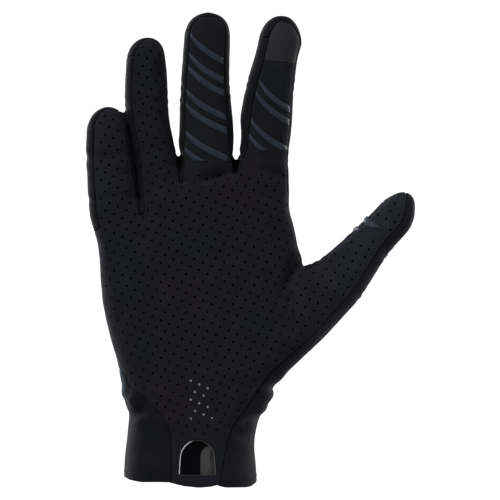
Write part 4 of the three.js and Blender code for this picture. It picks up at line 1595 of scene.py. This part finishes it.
def perforated(x, z):
    """Whether the cloth has holes at a place seen from the front."""
    thumb = BARE_THUMB
    round_bars = abs(z - thumb["slope"] * x - thumb["up"]) < thumb["half"]
    round_bars = round_bars and thumb["left"] < x < thumb["right"] and x + z < thumb["sum"]
    on_finger = BARE_FINGERS["left"] < x < BARE_FINGERS["right"] and z > BARE_FINGERS["foot"]
    on_base = x > BARE_BASE["left"] and z > BARE_BASE["foot"] + BARE_BASE["slope"] * x
    return HOLES_UP[0] <= z <= HOLES_UP[1] and not (round_bars or on_finger or on_base)


# Operators, one for each piece or group of like pieces


class GLOVE_OT_palm(bpy.types.Operator):
    """Makes the perforated palm panel."""

    bl_idname = "glove.palm"
    bl_label = "Palm panel"

    def execute(self, context):
        material = suede()
        palm = panel_object("perforated_palm", "palm_panel")
        spots, aims = hole_places()
        punched(palm, spots, aims, material)
        palm.data.set_sharp_from_angle(angle=math.radians(50))
        dressed(palm, material, "palm_suede", "palm_panel")
        return {"FINISHED"}


class GLOVE_OT_back(bpy.types.Operator):
    """Makes the stretch cloth over the back of the hand, fingers and thumb."""

    bl_idname = "glove.back"
    bl_label = "Back panel"

    def execute(self, context):
        back = panel_object("stretch_back", "back_panel")
        dressed(back, jersey(), "stretch_jersey", "back_panel")
        return {"FINISHED"}


class GLOVE_OT_gussets(bpy.types.Operator):
    """Makes the side strips between neighbouring fingers."""

    bl_idname = "glove.gussets"
    bl_label = "Gussets"

    def execute(self, context):
        material = jersey()
        for name in GUSSETS:
            dressed(panel_object(f"cloth_{name}", name), material, "stretch_jersey", name)
        return {"FINISHED"}


class GLOVE_OT_cuff(bpy.types.Operator):
    """Makes the knitted cuff."""

    bl_idname = "glove.cuff"
    bl_label = "Cuff"

    def execute(self, context):
        cuff = panel_object("knitted_cuff", "cuff")
        dressed(cuff, rib_knit(), "cuff_knit", "cuff")
        return {"FINISHED"}


class GLOVE_OT_touch_cap(bpy.types.Operator):
    """Makes the smooth patch on the index fingertip."""

    bl_idname = "glove.touch_cap"
    bl_label = "Touch cap"

    def execute(self, context):
        cap = panel_object("touch_patch", "touch_cap")
        dressed(cap, touch_fabric(), "touch_fabric", "touch_cap")
        return {"FINISHED"}


class GLOVE_OT_binding(bpy.types.Operator):
    """Makes the bound edge of the window, with a painted highlight along its left."""

    bl_idname = "glove.binding"
    bl_label = "Window binding"

    def execute(self, context):
        tree = skin_tree()
        line = window_outline(-EDGE_INSET)
        dense = []
        for a, b in zip(line, np.roll(line, -1, axis=0)):
            count = max(int(np.linalg.norm(b - a) / EDGE_STEP), 1)
            dense += [a + (b - a) * i / count for i in range(count)]
        centres, frames = [], []
        for x, z in dense:
            place, normal = on_front(tree, x, z)
            centres.append(place - normal * EDGE_DEPTH)
            frames.append(normal)
        centres, frames = np.array(centres), np.array(frames)
        along = np.roll(centres, -1, axis=0) - np.roll(centres, 1, axis=0)
        along /= np.linalg.norm(along, axis=1, keepdims=True)
        across = np.cross(along, frames)
        turn = np.linspace(0, 2 * np.pi, 10, endpoint=False)
        rings = centres[:, None] + across[:, None] * (np.cos(turn) * EDGE_HALF_WIDTH)[None, :, None]
        rings = rings + frames[:, None] * (np.sin(turn) * EDGE_HALF_DEPTH)[None, :, None]
        count, sides = len(rings), len(turn)
        ring, side = np.meshgrid(np.arange(count), np.arange(sides), indexing="ij")
        a = ring * sides + side
        b = ring * sides + (side + 1) % sides
        c = ((ring + 1) % count) * sides + (side + 1) % sides
        d = ((ring + 1) % count) * sides + side
        faces = np.stack([a, d, c, b], -1).reshape(-1, 4)
        mesh = mesh_of("window_edge", rings.reshape(-1, 3), faces)
        mesh.shade_smooth()
        dressed(object_of("window_edge", mesh), cut_edge(), "binding", "window_binding")
        return {"FINISHED"}


def plate(title, label, shape):
    """Thin label inside the front wall; shape gives each row's left, right and rise."""
    tree = skin_tree()
    columns, rows = 25, 27
    front = []
    for v in np.linspace(0, 1, rows):
        for u in np.linspace(0, 1, columns):
            left, right, rise = shape(u, v)
            x = label["left"] + (left + (right - left) * u) * label["width"]
            z = label["foot"] + v * label["height"]
            place, _ = on_front(tree, x, z)
            front.append(place + [0, label["depth"] - rise, 0])
    front = np.array(front)
    back = front + [0, LABEL_THICKNESS, 0]
    i, j = np.meshgrid(np.arange(columns - 1), np.arange(rows - 1), indexing="ij")
    a = (j * columns + i).ravel()
    quads = np.stack([a, a + 1, a + 1 + columns, a + columns], 1)
    rim = rim_faces(rows, columns)
    faces = np.concatenate([quads, quads[:, ::-1] + rows * columns, rim])
    mesh = mesh_of(title, np.concatenate([front, back]), faces)
    mesh.shade_smooth()
    mesh.set_sharp_from_angle(angle=math.radians(40))
    return object_of(title, mesh)


def rim_faces(rows, columns):
    """Faces round the edge of a grid and its copy, which follow the grid's own winding along x."""
    count = rows * columns
    loop = [*range(columns - 1), *range(columns - 1, count - 1, columns)]
    loop += [*range(count - 1, count - columns, -1), *range(count - columns, 0, -columns)]
    loop = np.array(loop)
    after = np.roll(loop, -1)
    return np.stack([after, loop, loop + count, after + count], 1)


def plain_shape(u, v):
    """Label that narrows a little above its foot."""
    return 0.0, 1 - 0.13 * smoothstep(v, 0.1, 0.3), 0.0


def folded_shape(u, v):
    """Label folded over itself: its left side curves over to a peak, with a soft ridge inside."""
    over = max(0.0, (v - 0.6) / 0.4)
    left = 0.38 * (1 - math.sqrt(max(1 - over**2, 0.0)))
    right = 1 - 0.25 * over**3
    edge = 0.33 + 0.1 * v * v
    return left, right, 0.75 * (1 - smoothstep(u, edge, edge + 0.06)) - 0.3


class GLOVE_OT_labels(bpy.types.Operator):
    """Makes the plain labels inside the wrist."""

    bl_idname = "glove.labels"
    bl_label = "Labels"

    def execute(self, context):
        care = plate("white_label", CARE_LABEL, plain_shape)
        dressed(care, satin("white satin", colours().care), "care_label", "care_label")
        size = plate("grey_label", SIZE_LABEL, folded_shape)
        dressed(size, satin("grey satin", colours().size), "size_label", "size_label")
        return {"FINISHED"}


def round_digit(tree, digit, at, turn):
    """Place and normal on the skin of a digit, at a share of its reach and a turn round it."""
    centre = digit_at(digit, at)[0][0]
    outwards = digit_frame(digit)[2] * math.cos(turn) + np.array([0, 1, 0]) * math.sin(turn)
    hit = tree.ray_cast(Vector(centre + outwards * FINGER_WIDTH), Vector(-outwards))
    return np.array(hit[0]), np.array(hit[1])


def raised_patch(title, places, normals, heights):
    """Closed raised patch over a grid of places on the skin."""
    rows, columns = places.shape[:2]
    for _ in range(2):
        padded = np.pad(normals, ((1, 1), (1, 1), (0, 0)), mode="edge")
        normals = sum(padded[a : a + rows, b : b + columns] for a in range(3) for b in range(3))
        normals /= np.linalg.norm(normals, axis=2, keepdims=True)
    top = places + normals * heights[None, :, None]
    bottom = places - normals * GRIP_SUNK
    count = rows * columns
    i, j = np.meshgrid(np.arange(rows - 1), np.arange(columns - 1), indexing="ij")
    a = (i * columns + j).ravel()
    quads = np.stack([a, a + columns, a + columns + 1, a + 1], 1)
    rim = rim_faces(rows, columns)[:, ::-1]
    faces = np.concatenate([quads, quads[:, ::-1] + count, rim])
    points = np.concatenate([top.reshape(-1, 3), bottom.reshape(-1, 3)])
    mesh = mesh_of(title, points, faces)
    mesh.shade_smooth()
    return object_of(title, mesh)


def bar_grid(digit, at, foot):
    """Places across a finger for one slanting bar, narrower at its left end."""
    reach = reach_of(digit)
    left = digit_edge(digit, at, -1, inset_of(digit, at, -1, 0.5))[0]
    low = at - GRIP_FALL / reach
    right = digit_edge(digit, low, 1, inset_of(digit, low, 1, 1.1))[0]
    floor = digit_frame(digit)[0][2] + foot * reach
    lines = []
    for t in np.linspace(0, 1, 26):
        x = left[0] + (right[0] - left[0]) * t
        z = left[1] + (right[1] - left[1]) * t - GRIP_SAG * math.sin(math.pi * t**0.8)
        low = max(z - GRIP_WIDTH * min(1, GRIP_START + t * GRIP_GAIN), floor)
        if z - low < 0.15:
            break
        lines.append([[x, z + (low - z) * share] for share in GRIP_ACROSS])
    return np.array(lines)


def sewn(title, spots, headings, normals, material):
    """Row of stitches: one small capsule at each spot, along its heading."""
    row = cloud_of(title, spots, heading=headings, out=normals)
    plan = NodePlan("Stitches", Length="NodeSocketFloat", Thickness="NodeSocketFloat")
    ball = plan.node("GeometryNodeMeshUVSphere", None, Segments=10, Rings=8, Radius=0.5)
    heading = plan.node(
        "GeometryNodeInputNamedAttribute", {"data_type": "FLOAT_VECTOR"}, Name="heading"
    )
    out = plan.node("GeometryNodeInputNamedAttribute", {"data_type": "FLOAT_VECTOR"}, Name="out")
    first = plan.node(
        "FunctionNodeAlignRotationToVector", {"axis": "X"}, Vector=heading.outputs["Attribute"]
    )
    turn = plan.node(
        "FunctionNodeAlignRotationToVector", {"axis": "Z", "pivot_axis": "X"},
        Rotation=first.outputs["Rotation"], Vector=out.outputs["Attribute"],
    )
    size = plan.node(
        "ShaderNodeCombineXYZ", None,
        X=plan.inlet("Length"), Y=plan.inlet("Thickness"), Z=plan.inlet("Thickness"),
    )
    many = plan.node(
        "GeometryNodeInstanceOnPoints", None,
        Instance=ball.outputs["Mesh"], Rotation=turn.outputs["Rotation"], Scale=size.outputs[0],
    )
    plan.tree.links.new(plan.entry.outputs[0], many.inputs["Points"])
    plan.finish(many.outputs[0], material)
    plan.apply(row, Length=sizes().stitch, Thickness=sizes().stitch * 0.2)
    row.data.shade_smooth()
    return row


class GLOVE_OT_stitches(bpy.types.Operator):
    """Makes the row of stitches over the turned hem."""

    bl_idname = "glove.stitches"
    bl_label = "Hem stitches"

    def execute(self, context):
        tree = skin_tree()
        pitch = sizes().stitch / MM * STITCH_PITCH
        turns = np.linspace(0, 2 * np.pi, 721)
        line, normals = [], []
        for turn in turns:
            outwards = Vector((math.cos(turn), math.sin(turn), 0))
            height = HEM_RISE
            for _ in range(3):
                hit = tree.ray_cast(outwards * 90 + Vector((-0.9, 0, height)), -outwards)
                height += HEM_RISE - float(hem_field(np.array(hit[0])[None])[0])
            line.append(np.array(hit[0]))
            normals.append(np.array(hit[1]))
        line, normals = np.array(line), np.array(normals)
        steps = np.concatenate([[0], np.cumsum(np.linalg.norm(np.diff(line, axis=0), axis=1))])
        wanted = np.arange(0, steps[-1] - pitch / 2, pitch)
        spots, after, out = (
            np.stack([np.interp(places, steps, values[:, i]) for i in range(3)], 1)
            for places, values in ((wanted, line), (wanted + 0.5, line), (wanted, normals))
        )
        on_tongue = np.abs(spots[:, 0] - TONGUE_SHIFT - 0.2) < TONGUE_WIDTH / 2 + 1.5
        keep = ~(on_tongue & (spots[:, 1] < 0))
        material = thread()
        row = sewn(
            "hem_stitches", spots[keep] + out[keep] * 0.05, (after - spots)[keep], out[keep], material
        )
        dressed(row, material, "cuff_knit")
        return {"FINISHED"}


class GLOVE_OT_grips(bpy.types.Operator):
    """Makes the slanting silicone bars."""

    bl_idname = "glove.grips"
    bl_label = "Grip bars"

    def execute(self, context):
        material = silicone()
        heights = np.array(GRIP_RISE) * (sizes().grip_height / MM)
        tree = skin_tree()
        for name, plan in GRIPS.items():
            for i, at in enumerate(plan["places"], 1):
                grid = bar_grid(DIGITS[name], at, plan["foot"])
                found = [[on_front(tree, x, z) for x, z in line] for line in grid]
                places = np.array([[spot for spot, _ in line] for line in found])
                normals = np.array([[normal for _, normal in line] for line in found])
                bar = raised_patch(f"{name}_bar_{i}", places, normals, heights)
                dressed(bar, material, "silicone", f"{name}_grip_{i}")
        thumb = DIGITS["thumb"]
        for i, rows in enumerate(THUMB_GRIPS, 1):
            turns = np.linspace(rows["turn"][0], rows["turn"][-1], 18)
            low, high = eased(rows, "turn", "low", turns), eased(rows, "turn", "high", turns)
            places, normals = [], []
            for k, turn in enumerate(np.radians(turns)):
                shares = high[k] + (low[k] - high[k]) * np.array(GRIP_ACROSS)
                found = [round_digit(tree, thumb, at, turn) for at in shares]
                places.append([spot for spot, _ in found])
                normals.append([normal for _, normal in found])
            bar = raised_patch(f"thumb_bar_{i}", np.array(places), np.array(normals), heights)
            dressed(bar, material, "silicone", f"thumb_grip_{i}")
        return {"FINISHED"}


def bowl(name, radius, height, depth):
    """Round floor that turns up into a wall far behind."""
    profile = [(0.0, depth)]
    profile += [(radius * share, depth) for share in (0.3, 0.6, 0.8)]
    bend = radius * 0.2
    for turn in np.linspace(0, np.pi / 2, 8):
        profile.append((radius * 0.8 + bend * math.sin(turn), depth + bend * (1 - math.cos(turn))))
    profile.append((radius, depth + height))
    sides = 72
    points = [(0.0, 0.0, depth)]
    turns = [2 * math.pi * k / sides for k in range(sides)]
    for away, up in profile[1:]:
        points += [(away * math.cos(turn), away * math.sin(turn), up) for turn in turns]
    faces = [(0, 1 + k, 1 + (k + 1) % sides) for k in range(sides)]
    for ring in range(len(profile) - 2):
        base = 1 + ring * sides
        faces += [
            (base + k, base + sides + k, base + sides + (k + 1) % sides, base + (k + 1) % sides)
            for k in range(sides)
        ]
    mesh = bpy.data.meshes.new(name)
    mesh.from_pydata(points, [], faces)
    mesh.shade_smooth()
    return object_of(name, mesh)


def soft_light(name, place, target, size, power):
    """Large square lamp that faces a target."""
    data = bpy.data.lights.new(name, "AREA")
    data.size = size
    data.energy = power
    lamp = bpy.data.objects.new(name, data)
    lamp.location = place
    lamp.visible_camera = False
    lamp.rotation_euler = (Vector(target) - Vector(place)).to_track_quat("-Z", "Y").to_euler()
    bpy.context.scene.collection.objects.link(lamp)


class GLOVE_OT_stage(bpy.types.Operator):
    """Makes the pale floor, the soft studio light and the camera."""

    bl_idname = "glove.stage"
    bl_label = "Stage"

    def execute(self, context):
        scene = context.scene
        floor = bowl("studio_floor", **FLOOR)
        paper = bpy.data.materials.new("studio paper")
        paper.use_nodes = True
        shader = paper.node_tree.nodes["Principled BSDF"]
        shader.inputs["Base Color"].default_value = (0.9, 0.9, 0.9, 1)
        shader.inputs["Roughness"].default_value = 0.9
        shader.inputs["Emission Color"].default_value = (1, 1, 1, 1)
        shader.inputs["Emission Strength"].default_value = 1.0
        floor.data.materials.append(paper)
        floor.visible_diffuse = False
        floor.visible_glossy = False

        world = bpy.data.worlds.new("studio")
        world.use_nodes = True
        world.node_tree.nodes["Background"].inputs[0].default_value = (1, 1, 1, 1)
        world.node_tree.nodes["Background"].inputs[1].default_value = AMBIENT
        scene.world = world

        for lamp in LAMPS:
            soft_light(*lamp)

        camera_data = bpy.data.cameras.new("camera")
        camera_data.lens = LENS
        camera_data.sensor_width = SENSOR
        camera = bpy.data.objects.new("camera", camera_data)
        camera.location = (VIEW_MIDDLE[0], -VIEW_WIDTH * LENS / SENSOR - VIEW_FRONT, VIEW_MIDDLE[1])
        camera.rotation_euler = (math.pi / 2, 0, 0)
        scene.collection.objects.link(camera)
        scene.camera = camera
        scene.view_settings.view_transform = "Standard"
        return {"FINISHED"}


STEPS = (
    "stage", "palm", "back", "gussets", "cuff", "touch_cap", "binding", "labels", "grips", "stitches",
)


class GLOVE_PT_panel(bpy.types.Panel):
    """Sidebar panel with the sizes, the colours and the pieces."""

    bl_idname = "GLOVE_PT_panel"
    bl_label = "Cycling glove"
    bl_space_type = "VIEW_3D"
    bl_region_type = "UI"
    bl_category = "Glove"

    def draw(self, context):
        for group in (context.scene.glove_sizes, context.scene.glove_colours):
            for name in group.__annotations__:
                self.layout.prop(group, name)
        for step in STEPS:
            self.layout.operator(f"glove.{step}")


CLASSES = (
    GloveSizes,
    GloveColours,
    GLOVE_OT_palm,
    GLOVE_OT_back,
    GLOVE_OT_gussets,
    GLOVE_OT_cuff,
    GLOVE_OT_touch_cap,
    GLOVE_OT_binding,
    GLOVE_OT_labels,
    GLOVE_OT_grips,
    GLOVE_OT_stitches,
    GLOVE_OT_stage,
    GLOVE_PT_panel,
)


def register():
    """Registers the classes and the scene's settings."""
    for cls in CLASSES:
        bpy.utils.register_class(cls)
    bpy.types.Scene.glove_sizes = PointerProperty(type=GloveSizes)
    bpy.types.Scene.glove_colours = PointerProperty(type=GloveColours)


def unregister():
    """Takes the settings and the classes away again."""
    del bpy.types.Scene.glove_colours
    del bpy.types.Scene.glove_sizes
    for cls in reversed(CLASSES):
        bpy.utils.unregister_class(cls)


def main():
    """Makes the whole glove."""
    register()
    for step in STEPS:
        getattr(bpy.ops.glove, step)()


if __name__ == "__main__":
    main()
